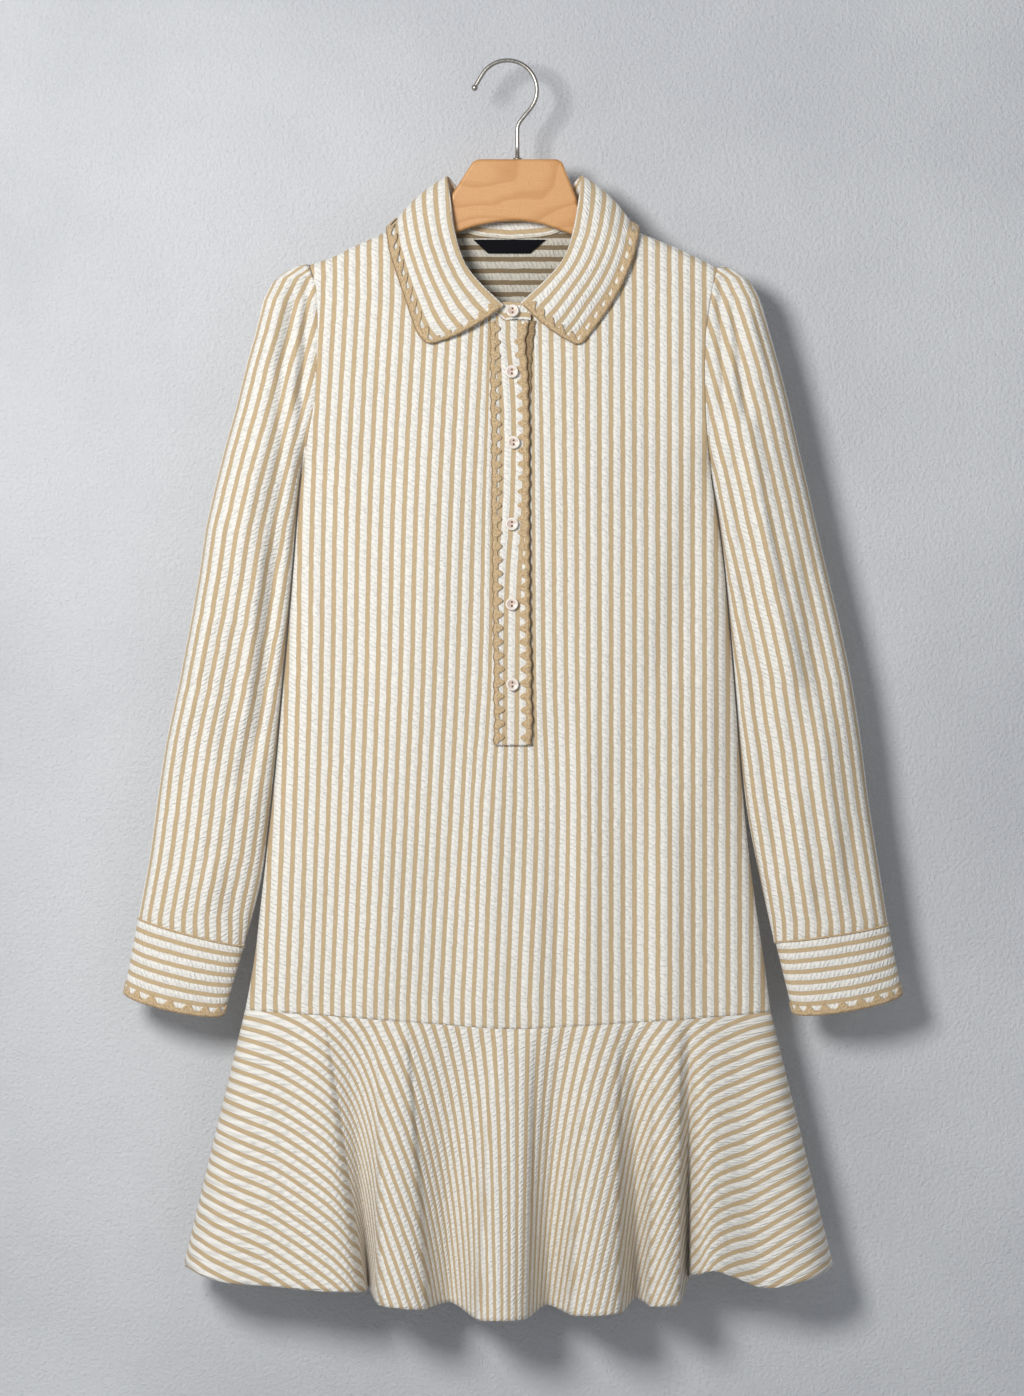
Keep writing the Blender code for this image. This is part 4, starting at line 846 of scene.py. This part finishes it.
def rolledEdge(name, line, radius, material, slotName, closed=False):
    # a thin corded roll along an edge, with a twist in it
    sides = 8
    ahead = np.roll(line, -1, axis=0) if closed else np.vstack([line[1:], 2 * line[-1] - line[-2]])
    behind = np.roll(line, 1, axis=0) if closed else np.vstack([2 * line[0] - line[1], line[:-1]])
    run = unit(ahead - behind)
    first = unit(np.cross(run, (0.31, 0.92, 0.23)))
    second = np.cross(run, first)
    path = lengths(line)
    a = np.linspace(0, math.tau, sides + 1)[:-1]
    wave = radius * (1 + 0.16 * np.sin(path[:, None] * math.tau / 2.2 + a))
    ring = np.cos(a)[:, None] * first[:, None] + np.sin(a)[:, None] * second[:, None]
    ring = line[:, None] + wave[..., None] * ring
    mesh = sheetMesh(name, ring, woven(a * radius, path[:, None] + 0 * a), closed=True)
    made = placed(name, mesh, material, slotName)
    build = bmesh.new()
    build.from_mesh(mesh)
    if closed:
        bmesh.ops.bridge_loops(build, edges=[e for e in build.edges if e.is_boundary])
    else:
        bmesh.ops.holes_fill(build, edges=[e for e in build.edges if e.is_boundary])
    build.to_mesh(mesh)
    build.free()
    return made


def makeCuffs():
    turns = np.linspace(-1, 1, 129)[:-1]
    for side, name, node in ((-1, "cuffLeft", "left"), (1, "cuffRight", "right")):
        v = np.linspace(0, 1, 34)[:, None]
        points = cuffGrid(side, v, turns)
        ring = cuffGrid(side, 1.0, turns)
        girth = lengths(np.vstack([ring, ring[:1]]))
        weave = woven(v * pitch * cuff["stripes"], girth[:-1] + 0 * v)
        made = cloth(name, points, weave, stripes, "striped_seersucker", ["cuff_" + node], closed=True)
        seam = cuffGrid(side, 0.012, turns, 0.7)
        rolledEdge(name + "Seam", seam, 0.8, beigeTape, "striped_seersucker", closed=True)

        teeth = round(girth[-1] / tape["pitch"])
        steps = np.linspace(-1, 1, teeth * tape["steps"] + 1)[:-1]
        tall = (tape["band"] + tape["tooth"] * toothed((steps + 1) / 2 * teeth)) / cuff["height"]
        rows = [cuffGrid(side, 1.004 - tall * t, steps, tape["lift"]) for t in np.linspace(0, 1, 6)]
        path = np.interp(steps, np.append(turns, 1.0), girth)
        made = cloth("cuffTape" + node.capitalize(), np.stack(rows),
                     np.stack([woven(tall * cuff["height"] * t, path) for t in np.linspace(0, 1, 6)]),
                     beigeTape, "beige_tape", ["cuff_trim_" + node], closed=True, thickness=0.9)
        # a roll in tape with painted shade, a dark line along the tape's edge
        rolledEdge(name + "Roll", cuffGrid(side, 1.008, steps, 0.9), tape["roll"], paintedShadeTape, "beige_tape",
                   closed=True)


makeCuffs()
print("cuffs made")


# collar
collar = dict(standInset=1.3, startBack=2.0, startFront=4.2, rise=0.6, roll=3.0, shoulderRoll=2.0,
              liftTop=4.2, liftEdge=2.3, bow=4.5, corner=8.0, trimInset=1.2, trimLift=1.1, crest=0.8)
standEnds = table(
    "side xNeck zNeck xFold zFold out",
    (-1, 9, -219.6, 10, -205.5, 2.0), (-1, 21, -220.6, 22, -208.5, 2.2),
    (1, 4, -219.6, 4, -204.5, -1.7), (1, -4, -218.6, -4, -205.5, -1.9))


def collarRows(side):
    return collarLeft if side < 0 else collarRight


def fromNeck(side, stations):
    turn = math.pi * np.clip(stations / 6.0, 0, 1)
    return joined(side * np.sin(turn), np.cos(turn), 0 * stations)


def clearOfBody(points, off):
    x, y, z = points[..., 0], points[..., 1], points[..., 2]
    radius = body["topRadius"]
    axis = shoulderZ(x) - radius
    off = off + np.clip(np.abs(y) / radius, 0, 1)
    reach = np.hypot(y, z - axis)
    grow = np.maximum(1, (radius + off) / np.maximum(reach, 1e-6))
    face = np.where(y < 0, -1.0, 1.0)
    deep = np.where(face < 0, depth(x, z, -1), depth(x, z, 1)) + off
    above = z > axis
    newY = np.where(above, y * grow, face * np.maximum(np.abs(y), deep))
    return joined(x, newY, np.where(above, axis + (z - axis) * grow, z))


def fallPoints(a, b):
    # a runs from -1 at the left front edge to 1 at the right one, b from the fold to the edge
    a, b = np.broadcast_arrays(np.asarray(a, float), np.asarray(b, float))
    points = np.zeros(a.shape + (3,))
    for side in (-1, 1):
        rows = collarRows(side)
        here = (a < 0) if side < 0 else (a >= 0)
        s, share = np.abs(a[here]) * 8, b[here]
        fold = np.stack([along(rows, "fold" + axis, s) for axis in "XYZ"], axis=-1)
        edge = np.stack([along(rows, "edge" + axis, s) for axis in "XYZ"], axis=-1)
        outward = fromNeck(side, s)
        start = fold + outward * mix(collar["startBack"], collar["startFront"], ease((s - 5) / 3))[:, None]
        start[:, 2] += collar["rise"]
        p = mix(start, edge, share[:, None])
        roll = np.sin(math.pi * np.clip(share * 1.15, 0, 1))
        p = p + outward * (collar["roll"] * roll)[:, None]
        p[:, 2] += collar["shoulderRoll"] * roll * np.clip(1 - np.abs(s - 3) / 3, 0, 1)
        p[:, 2] -= collar["bow"] * 4 * share * (1 - share) * ease((s - 6.4) / 1.6)
        lift = mix(collar["liftTop"], collar["liftEdge"], ease(share * 1.6))
        points[here] = clearOfBody(p, lift + collar["rise"] * ease((s - 6) / 2) * (1 - share))
    return points


def foldPoints(a):    # the top of the stand under the collar's fold
    fold = np.zeros(a.shape + (3,))
    for side in (-1, 1):
        here = (a < 0) if side < 0 else (a >= 0)
        fold[here] = np.stack([along(collarRows(side), "fold" + axis, np.abs(a[here]) * 8)
                               for axis in "XYZ"], axis=-1)
    return fold


collarRun = lengths(fallPoints(np.linspace(0, 1, 60), 0.7))[-1]
collarRise = lengths(fallPoints(0.85, np.linspace(0, 1, 20)))[-1]


def roundCorner(a, b):
    p = np.clip(1 - (1 - np.abs(a)) * collarRun / collar["corner"], 0, 1)
    q = np.clip(1 - (1 - b) * collarRise / collar["corner"], 0, 1)
    newP, newQ = p * np.sqrt(1 - q * q / 2), q * np.sqrt(1 - p * p / 2)
    newA = np.where(p > 0, 1 - (1 - newP) * collar["corner"] / collarRun, np.abs(a))
    newB = np.where(q > 0, 1 - (1 - newQ) * collar["corner"] / collarRise, b)
    return np.sign(a) * newA, newB


def fallWeave(a, b):    # stripes run with the outer edge
    wide = lengths(fallPoints(0.02, np.linspace(0, 1, 20)))[-1], collarRise * 1.08
    a, b = np.broadcast_arrays(a, b)
    return woven((1 - b) * mix(wide[0], wide[1], ease(np.abs(a) * 1.6)), a * collarRun)


def makeFall():
    half = np.concatenate([np.linspace(0, 0.97, 120)[:-1], np.linspace(0.97, 1, 14)])
    a = np.concatenate([-half[::-1], half[1:]])
    b = np.concatenate([np.linspace(0, 0.86, 30)[:-1], np.linspace(0.86, 1, 12)])
    bb, aa = np.meshgrid(b, a, indexing="ij")
    ra, rb = roundCorner(aa, bb)
    fall = fallPoints(ra, rb)
    top, under = fall[0], foldPoints(ra[0])
    rolled = []    # the cloth rolls over from the fall to the stand
    for angle in np.radians((150, 120, 90, 60, 30)):
        middle, reach = (top + under) / 2, (top - under) / 2
        lift = np.linalg.norm(reach, axis=1)[:, None] * (0, 0, 1) * math.sin(angle) * 0.8
        rolled.append(middle + reach * math.cos(angle) + lift)
    points = np.concatenate([np.stack(rolled), fall])
    weave = fallWeave(ra, rb)
    start = np.stack([weave[0] + (0.7 * n, 0, 0) for n in range(5, 0, -1)])
    made = cloth("collarFall", points, np.concatenate([start, weave]), stripes, "striped_seersucker",
                 ["collar_fall"])


def makeStand():
    stations = np.linspace(0, 8, 90)
    sides = []
    for side in (-1, 1):
        rows = collarRows(side)
        neckX, neckZ = along(rows, "neckX", stations), along(rows, "neckZ", stations)
        neckY = np.where(stations < 3, bodyY(neckX, neckZ, 1), bodyY(neckX, neckZ, -1))
        neckY = neckY * ease(np.abs(stations - 3) / 0.12)
        neck = joined(neckX, neckY, neckZ)
        fold = np.stack([along(rows, "fold" + axis, stations) for axis in "XYZ"], axis=-1)
        inset = collar["standInset"] * np.clip(1 - np.abs(stations - 3.2) / 2.4, 0, 1)
        neck = neck - fromNeck(side, stations) * inset[:, None]
        ends = [i for i in range(4) if standEnds["side"][i] == side]
        endY = fold[-1, 1]
        for i in ends:
            e = {name: column[i] for name, column in standEnds.items()}
            if i in (0, 2):
                endY = endY - e["out"]
            nextNeck = np.array((e["xNeck"], bodyY(e["xNeck"], e["zNeck"], -1, e["out"]), e["zNeck"]))
            nextFold = np.array((e["xFold"], endY, e["zFold"]))
            shares = np.linspace(0, 1, 9)[1:, None]
            neck = np.vstack([neck, mix(neck[-1], nextNeck, shares)])
            fold = np.vstack([fold, mix(fold[-1], nextFold, shares)])
        sides.append((neck, fold))
    neck = np.vstack([sides[0][0][::-1], sides[1][0][1:]])
    fold = np.vstack([sides[0][1][::-1], sides[1][1][1:]])
    up = unit(fold - neck)
    upright = np.clip(1 - np.abs(neck[:, 1:2]) / (body["topRadius"] + 3), 0, 1)
    neck = neck + up * (0.2 + upright * 0.6)
    levels = np.linspace(0, 1, 12)
    points = np.stack([mix(neck, fold, t) for t in levels])
    path = lengths(neck)
    tall = np.linalg.norm(fold - neck, axis=1)
    weave = np.stack([woven(tall * t - 4.0, path) for t in levels])
    made = cloth("collarStand", points, weave, stripes, "striped_seersucker", ["collar_stand"])
    back = neck[(neck[:, 1] > 2.0)]
    binding = back + (0, -1.2, -0.8)
    rolledEdge("neckBinding", binding, 1.0, creamThread, "striped_seersucker")


def tapeStrip(name, edge, inner, outward, path, count, replaced):
    # a strip from edge to inner, a little domed, standing off along outward
    levels = np.linspace(0, 1, count)
    dome = 0.35 * np.sin(math.pi * levels)
    points = np.stack([mix(edge, inner, t) + outward * d for t, d in zip(levels, dome)])
    wide = np.linalg.norm(inner - edge, axis=1)
    weave = np.stack([woven(wide * t, path) for t in levels])
    made = cloth(name, points, weave, beigeTape, "beige_tape", replaced, thickness=0.9)
    return made


def makeCollarTape():
    cornerA, cornerB = 1 - collar["trimInset"] / collarRun, 1 - collar["trimInset"] / collarRise
    walk = [(-cornerA, t) for t in np.linspace(0.03, cornerB, 30)[:-1]]
    walk += [(t, cornerB) for t in np.linspace(-cornerA, cornerA, 240)]
    walk += [(cornerA, t) for t in np.linspace(cornerB, 0.03, 30)[1:]]
    walk = np.array(walk)
    path = lengths(fallPoints(*roundCorner(walk[:, 0], walk[:, 1])))
    teeth = round(path[-1] / tape["pitch"])
    at = np.linspace(0, path[-1], teeth * tape["steps"] + 1)
    edgeA, edgeB = np.interp(at, path, walk[:, 0]), np.interp(at, path, walk[:, 1])
    tall = tape["band"] + tape["tooth"] * toothed(at / path[-1] * teeth)
    rows, weave = [], []
    levels = np.linspace(0, 1, 7)
    for t in levels:
        inset = tall * t + collar["trimInset"]
        a = edgeA * (1 - inset / collarRun) / cornerA
        b = edgeB * (1 - inset / collarRise) / cornerB
        ra, rb = roundCorner(a, b)
        here = fallPoints(ra, rb)
        step = 0.004
        across = fallPoints(np.clip(ra + step, -1, 1), rb) - fallPoints(np.clip(ra - step, -1, 1), rb)
        fallen = fallPoints(ra, np.clip(rb + step, 0, 1)) - fallPoints(ra, np.clip(rb - step, 0, 1))
        normal = unit(np.cross(fallen, across))
        way = np.where(normal[:, 1] * np.where(here[:, 1] < 0, -1, 1) + normal[:, 2] < 0, -1, 1)
        overShoulder = np.clip(2.0 - np.abs(np.abs(ra) * 8 - 3.1), 0, 1)
        lift = collar["trimLift"] + collar["crest"] * overShoulder + 0.35 * math.sin(math.pi * t)
        rows.append(here + normal * (way * lift)[:, None])
        weave.append(woven(tall * t, at))
    made = cloth("collarTape", np.stack(rows), np.stack(weave), beigeTape, "beige_tape", ["collar_trim"],
                 thickness=0.9)
    # a roll in tape with painted shade, a dark line along the tape's edge
    rolledEdge("collarRoll", mix(rows[0], rows[1], -0.35), tape["roll"], paintedShadeTape, "beige_tape")


creamThread = thread("creamThread", (0.72, 0.66, 0.54))
makeFall()
makeStand()
makeCollarTape()
print("collar made")


# placket
placketEdges = table(
    "z left right underLeft underRight",
    (-580.5, -9.2, 21.6, -6, 23), (-560, -9.4, 21.4, -6, 23), (-470, -10.5, 19.4, -8, 21.4),
    (-354, -11.7, 18.9, -8, 20.8), (-293, -12.3, 18.7, -8, 20.7), (-275, -12.5, 18.2, -8, 21.4),
    (-256, -12.7, 17.2, -8, 21.6), (-244, -12.8, 15.8, -8, 22.6), (-235, -12.9, 16.1, -8, 23.8),
    (-223, -13, 18.7, -8, 25), (-220.8, -13, 19, -8, 25))
placketStripe = table("z x", (-572, -1), (-445, 1), (-370, 5.5), (-290, 6), (-234, 1.5))
placket = dict(tape=1.0, gap=0.4, ripple=0.5, ripplePitch=11.7)


def placketLift(layer):
    return 0.6 + (layer + 1) * placket["gap"] + (layer + 0.5) * placket["tape"]


def placketFold(x, z):    # the strip follows the panel's folds
    return foldY(x, z, -1)


def placketRipple(z):
    return placket["ripple"] * np.sin(z * math.tau / placket["ripplePitch"]) + 0.4 * uneven(z, z, 40, 41)


def makePlacket():
    z = np.linspace(placketEdges["z"][0], placketEdges["z"][-1], 190)
    side = {name: np.interp(z, placketEdges["z"], placketEdges[name]) for name in placketEdges}
    ripple = placketRipple(z)
    for name, node, left, right, layer, material, slotName in (
            # the under placket in tape with painted shade: a dark sheet for the shadowed slot beside the over placket
            ("placketUnder", "placket_under", "underLeft", "underRight", 0, paintedShadeTape, "beige_tape"),
            ("placketOver", "placket_over", "left", "right", 1, stripes, "striped_seersucker")):
        s = np.linspace(0, 1, 22)[:, None]
        x = mix(side[left] + (ripple if layer else 0), side[right] + ripple, s)
        y = bodyY(x, z + 0 * x, -1, placketLift(layer) + placketFold(x, z + 0 * x))
        weave = woven(x - through(placketStripe["z"], placketStripe["x"], z), z + 0 * x)
        made = cloth(name, joined(x, y, z + 0 * x), weave, material, slotName, [node])
    teeth = round((z[-1] - z[0]) / tape["pitch"])
    z = np.linspace(z[0] + 1, z[-1] - 1, teeth * tape["steps"] + 1)
    phase = (z - z[0]) / (z[-1] - z[0]) * teeth
    for name, node, edgeName, way in (("placketTapeLeft", "placket_trim_left", "left", 1),
                                      ("placketTapeRight", "placket_trim_right", "right", -1)):
        edge = np.interp(z, placketEdges["z"], placketEdges[edgeName]) + placketRipple(z)
        tall = tape["band"] + tape["tooth"] * toothed(phase)
        points = []
        for x in (edge + way * 0.2, edge + way * tall):
            y = bodyY(x, z, -1, placketLift(2) - 0.3 + placketFold(x, z))
            points.append(joined(x, y, z))
        tapeStrip(name, points[0], points[1], np.array((0, -1.0, 0)), z, 7, [node])
        # a roll in tape with painted shade, a dark line along the tape's edge
        roll = points[0] + (-way * 0.35, -0.1, 0)
        rolledEdge(name + "Roll", roll, 0.6, paintedShadeTape, "beige_tape")


makePlacket()
print("placket made")


# buttons
buttonPlaces = table("x z", (5.5, -213), (5, -264.5), (6.5, -324.5), (5, -393.5), (5, -461), (5.5, -529))
button = dict(radius=5.45, height=2.4, dish=0.75, hole=0.92, spacing=3.4, shank=1.4,
              standY=-21.5, standLean=12.0)


def turnedMesh(name, profile, steps):
    mesh = bpy.data.meshes.new(name)
    build = bmesh.new()
    a = np.linspace(0, math.tau, steps + 1)[:-1]
    rings = []
    for r, h in profile:
        if r == 0:
            rings.append([build.verts.new((0, 0, h * mm))])
        else:
            rings.append([build.verts.new((r * mm * math.cos(t), r * mm * math.sin(t), h * mm)) for t in a])
    for first, second in zip(rings, rings[1:]):
        for i in range(steps):
            j = (i + 1) % steps
            corner = [first[i % len(first)], first[j % len(first)],
                      second[j % len(second)], second[i % len(second)]]
            build.faces.new(list(dict.fromkeys(corner)))
    bmesh.ops.recalc_face_normals(build, faces=build.faces)
    build.to_mesh(mesh)
    build.free()
    return mesh


def makeButtons():
    s = button
    rim, dish = s["height"], s["height"] - s["dish"]
    r = s["radius"]
    profile = [(0, dish), (r - 2.2, dish), (r - 1.9, dish + 0.15), (r - 1.55, rim - 0.15), (r - 1.1, rim),
               (r - 0.6, rim - 0.08), (r - 0.2, rim - 0.4), (r, rim / 2), (r - 0.35, 0.35),
               (r - 1.2, 0), (0, 0)]
    blank = added("buttonBlank", turnedMesh("buttonBlank", profile, 40))
    tools = []
    for way in (-1, 1):
        hole = turnedMesh("buttonHole", [(0, 6), (s["hole"], 6), (s["hole"], -6), (0, -6)], 16)
        hole.transform(Matrix.Translation((0, way * s["spacing"] / 2 * mm, 0)))
        tool = added("buttonHole", hole)
        drill = blank.modifiers.new("Hole", "BOOLEAN")
        drill.operation = "DIFFERENCE"
        drill.object = tool
        tools.append(tool)
    bpy.context.view_layer.update()
    shape = bpy.data.meshes.new_from_object(blank.evaluated_get(bpy.context.evaluated_depsgraph_get()))
    for old in tools + [blank]:
        bpy.data.objects.remove(old)
    pearl, brown = shell(), thread("brownThread", (0.22, 0.12, 0.07))
    for i, (x, z) in enumerate(zip(buttonPlaces["x"], buttonPlaces["z"])):
        if i == 0:
            y, lean = s["standY"], math.radians(s["standLean"])
        else:
            y = float(bodyY(x, z, -1, placketLift(2) + 0.8 + placketFold(np.array(x), np.array(z))))
            lean = math.atan2(float(bodyY(x, z + r, -1) - bodyY(x, z - r, -1)), 2 * r)
        mesh = shape.copy()
        made = added(f"button{i}", mesh)
        made.location = Vector((x, y, z)) * mm
        made.rotation_euler = (math.pi / 2 - lean, 0, 0)
        mesh.materials.clear()
        mesh.materials.append(pearl)
        mesh.shade_smooth()
        mesh.set_sharp_from_angle(angle=math.radians(45))
        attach(made, "root")
        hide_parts(f"button_{i}")
        # thread up through the two holes, and wound under the button
        low, high, out = -s["shank"], dish - 0.1, s["spacing"] / 2
        bar = [(0, -out, high), (0, -out, 0.4), (0, -out * 0.8, low), (0, 0, low - 0.2), (0, out * 0.8, low),
               (0, out, 0.4), (0, out, high)]
        line = np.array([made.matrix_world @ (Vector(p) * mm) for p in bar]) / mm
        stations = np.linspace(0, len(bar) - 1, 31)
        fine = np.stack([np.interp(stations, np.arange(len(bar)), column) for column in line.T], axis=-1)
        rolledEdge(f"buttonThread{i}", fine, 0.6, brown, "cream_button")


makeButtons()
print("buttons made")


# neck label, bare black satin
label = dict(topZ=-149.8, lowZ=-161.5, topLeft=-28, topRight=34, lowLeft=-15.5, lowRight=20.5)


def makeLabel():
    s, v = np.meshgrid(np.linspace(0, 1, 60), np.linspace(0, 1, 16))
    z = mix(label["lowZ"], label["topZ"], v)
    x = mix(mix(label["lowLeft"], label["topLeft"], v), mix(label["lowRight"], label["topRight"], v), s)
    y = bodyY(x, z, 1, -2.0 - 0.5 * np.sin(math.pi * s) * (1 - v))
    made = cloth("neckLabel", joined(x, y, z), woven(x, z), satin(), "black_satin",
                 ["neck_label"], thickness=0.7)


makeLabel()


# hanger
hanger = dict(thick=11.0, round=3.8, wire=1.85, hookRadius=25.2, shaftX=9.7, woodTopZ=-82.5,
              bevelSteps=6, bevelFrom=60, hookTurn=(150, -37), hookSides=20, tip=(-26.6, 0, -21.0),
              tipBall=2.8, tipDrop=0.4, bend=((15.6, 0, -45.5), (11.5, 0, -51), (10, 0, -54.5)), shaftFromZ=(-59, -70),
              ferrule=((0, 1.2), (3.2, 1.2), (3.7, 0.7), (3.7, -0.6), (0, -0.6)), ferruleUp=0.3)
woodOutline = table(
    "x z",
    (-24, -82.5), (-28.5, -85), (-47, -114), (-48, -121.5), (-53, -125.8), (-64.5, -130),
    (-99.5, -145), (-132.5, -160), (-149, -169), (-154, -176), (-146, -186),
    (-99.5, -167), (-64.5, -152.5), (-43.5, -145.5), (-27, -139.5), (-7.5, -135.5),
    (12, -134.5), (31.5, -137.5), (53.5, -145.5), (80, -156.5), (114, -170.5),
    (158, -189), (166.5, -182), (163, -172.5), (148, -161.2), (111.5, -146.2),
    (80, -131.6), (66, -126), (61, -121.5), (60, -115.5), (48, -85), (43.5, -82.5))


def makeWood():
    h = hanger
    outline = joined(woodOutline["x"], 0 * woodOutline["x"], woodOutline["z"])
    fine = []    # soften the outline's corners a little
    for before, here, after in zip(np.roll(outline, 1, axis=0), outline, np.roll(outline, -1, axis=0)):
        near = min(np.linalg.norm(here - before), np.linalg.norm(after - here)) * 0.28
        start = here + (before - here) / np.linalg.norm(before - here) * near
        end = here + (after - here) / np.linalg.norm(after - here) * near
        for t in (0, 0.25, 0.5, 0.75, 1):
            fine.append((1 - t) ** 2 * start + 2 * t * (1 - t) * here + t * t * end)
    mesh = bpy.data.meshes.new("hangerWood")
    mesh.from_pydata((np.array(fine) * mm).tolist(), [], [tuple(range(len(fine)))])
    made = placed("hangerWood", mesh, beech(), "beech_wood")
    thicken = made.modifiers.new("Thickness", "SOLIDIFY")
    thicken.thickness = h["thick"] * mm
    thicken.offset = 0
    rounded = made.modifiers.new("Rounding", "BEVEL")
    rounded.width = h["round"] * mm
    rounded.segments = h["bevelSteps"]
    rounded.limit_method = "ANGLE"
    rounded.angle_limit = math.radians(h["bevelFrom"])
    rounded.harden_normals = True
    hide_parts("hanger_wood")


def hookLine():    # from the tip over the crown and down the shaft into the wood
    h = hanger
    turn = np.radians(np.linspace(*h["hookTurn"], 80))
    centre = -h["hookRadius"] + h["wire"]
    line = [(h["hookRadius"] * math.cos(a) + 1.2, 0, centre + h["hookRadius"] * math.sin(a)) for a in turn]
    tipRun = [mix(np.array(h["tip"]), np.array(line[0]), t) for t in np.linspace(0, 1, 12)[:-1]]
    ends = np.array(line[-3:] + list(h["bend"]) + [(h["shaftX"], 0, z) for z in h["shaftFromZ"]])
    path = lengths(ends)
    smooth = [tuple(through(path, ends[:, k], t) for k in range(3))
              for t in np.linspace(path[2], path[-1], 30)[1:]]
    return np.array([tuple(p) for p in tipRun] + line + smooth + [(h["shaftX"], 0, h["woodTopZ"] - 2)])


def makeHook():
    h = hanger
    line = hookLine()
    across = np.array((0, 1.0, 0))
    first = np.cross(unit(np.gradient(line, axis=0)), across)
    a = np.linspace(0, math.tau, h["hookSides"] + 1)[:-1]
    ring = np.cos(a)[:, None] * first[:, None] + np.sin(a)[:, None] * across
    ring = line[:, None] + h["wire"] * ring
    mesh = sheetMesh("hangerHook", ring, woven(a, lengths(line)[:, None]), closed=True)
    build = bmesh.new()
    build.from_mesh(mesh)
    bmesh.ops.holes_fill(build, edges=[e for e in build.edges if e.is_boundary])
    build.to_mesh(mesh)
    build.free()
    metal = nickel()
    hook = placed("hangerHook", mesh, metal, "brushed_nickel")
    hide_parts("hanger_hook")
    r = h["tipBall"]
    around = [(r * math.sin(t), r * math.cos(t)) for t in np.linspace(0.2, 2.94, 14)]
    ball = turnedMesh("hookTip", [(0, r)] + around + [(0, -r)], 24)
    tip = placed("hookTip", ball, metal, "brushed_nickel")
    tip.location = (line[0] - (0, 0, h["tipDrop"])) * mm
    collarRing = turnedMesh("hookFerrule", list(h["ferrule"]), 32)
    ferrule = placed("hookFerrule", collarRing, metal, "brushed_nickel")
    ferrule.location = Vector((h["shaftX"], 0, h["woodTopZ"] + h["ferruleUp"])) * mm


makeWood()
makeHook()
print("hanger made")


# stage, light and camera
wallLook = dict(y=0.047, light=(0.64, 0.655, 0.685), dark=(0.54, 0.555, 0.59))


def stageMaterial(name, light, dark, seeThrough):
    made, tree, shader = finish(name)
    where = tree.nodes.new("ShaderNodeTexCoord").outputs["Object"]
    clouds = noisy(tree, where, 2.2, 4, 0.6)
    grit = noisy(tree, where, 300.0, 4, 0.7)
    tree.links.new(blended(tree, ranged(tree, clouds, 0.3, 0.7), dark, light), shader.inputs["Base Color"])
    bumped(tree, shader, maths(tree, "MULTIPLY_ADD", grit, 2.4, maths(tree, "MULTIPLY", clouds, 2.0)))
    shader.inputs["Roughness"].default_value = 0.9
    if seeThrough:    # the wall shows only from the front, and lets light through from behind
        clear, mixer = tree.nodes.new("ShaderNodeBsdfTransparent"), tree.nodes.new("ShaderNodeMixShader")
        behind = tree.nodes.new("ShaderNodeNewGeometry").outputs["Backfacing"]
        shadow = tree.nodes.new("ShaderNodeLightPath").outputs["Is Shadow Ray"]
        passing = maths(tree, "MAXIMUM", behind, shadow)
        tree.links.new(passing, mixer.inputs[0])
        tree.links.new(shader.outputs[0], mixer.inputs[1])
        tree.links.new(clear.outputs[0], mixer.inputs[2])
        tree.links.new(mixer.outputs[0], tree.nodes["Material Output"].inputs["Surface"])
    return made


def plane(name, corners, material):
    mesh = bpy.data.meshes.new(name)
    mesh.from_pydata(corners, [], [(0, 1, 2, 3)])
    made = added(name, mesh)
    mesh.materials.append(material)


y = wallLook["y"]
plane("wall", [(-3, y, -1.6), (3, y, -1.6), (3, y, 1.6), (-3, y, 1.6)],
      stageMaterial("paleWall", wallLook["light"], wallLook["dark"], True))
plane("floor", [(-4, -5, -1.6), (4, -5, -1.6), (4, 5, -1.6), (-4, 5, -1.6)],
      stageMaterial("paleFloor", (0.70, 0.70, 0.70), (0.64, 0.64, 0.65), False))


def light(name, place, aim, size, power, colour=(1, 1, 1)):
    lamp = bpy.data.lights.new(name, "AREA")
    lamp.shape = "DISK"
    lamp.size, lamp.energy, lamp.color = size, power, colour
    made = added(name, lamp)
    made.location = place
    made.rotation_euler = (Vector(aim) - Vector(place)).to_track_quat("-Z", "Y").to_euler()


light("keyLight", (-0.9, -1.9, 0.15), (0, 0, -0.5), 0.68, 44.5, (1.0, 0.985, 0.955))
light("fillLight", (1.8, -2.8, -0.4), (0, 0, -0.5), 2.2, 7, (0.95, 0.97, 1.0))
light("rearLight", (1.6, 2.6, 0.6), (0, 0, -0.5), 1.6, 22)

world = bpy.data.worlds.new("paleRoom")
world.use_nodes = True
world.node_tree.nodes["Background"].inputs[0].default_value = (0.80, 0.84, 0.90, 1)
world.node_tree.nodes["Background"].inputs[1].default_value = 0.28
bpy.context.scene.world = world
bpy.context.scene.view_settings.view_transform = "Standard"    # plain colours, as a printed photo has

camera = bpy.data.cameras.new("camera")
camera.sensor_fit = "VERTICAL"
camera.sensor_height = 24
camera.lens = 24 * 4.0 / 1.1866
camera.clip_end = 50
eye = added("camera", camera)
eye.location = (0.0051, -4.002, -0.5404)
eye.rotation_euler = (math.pi / 2, 0, 0)
bpy.context.scene.camera = eye
print("stage made")
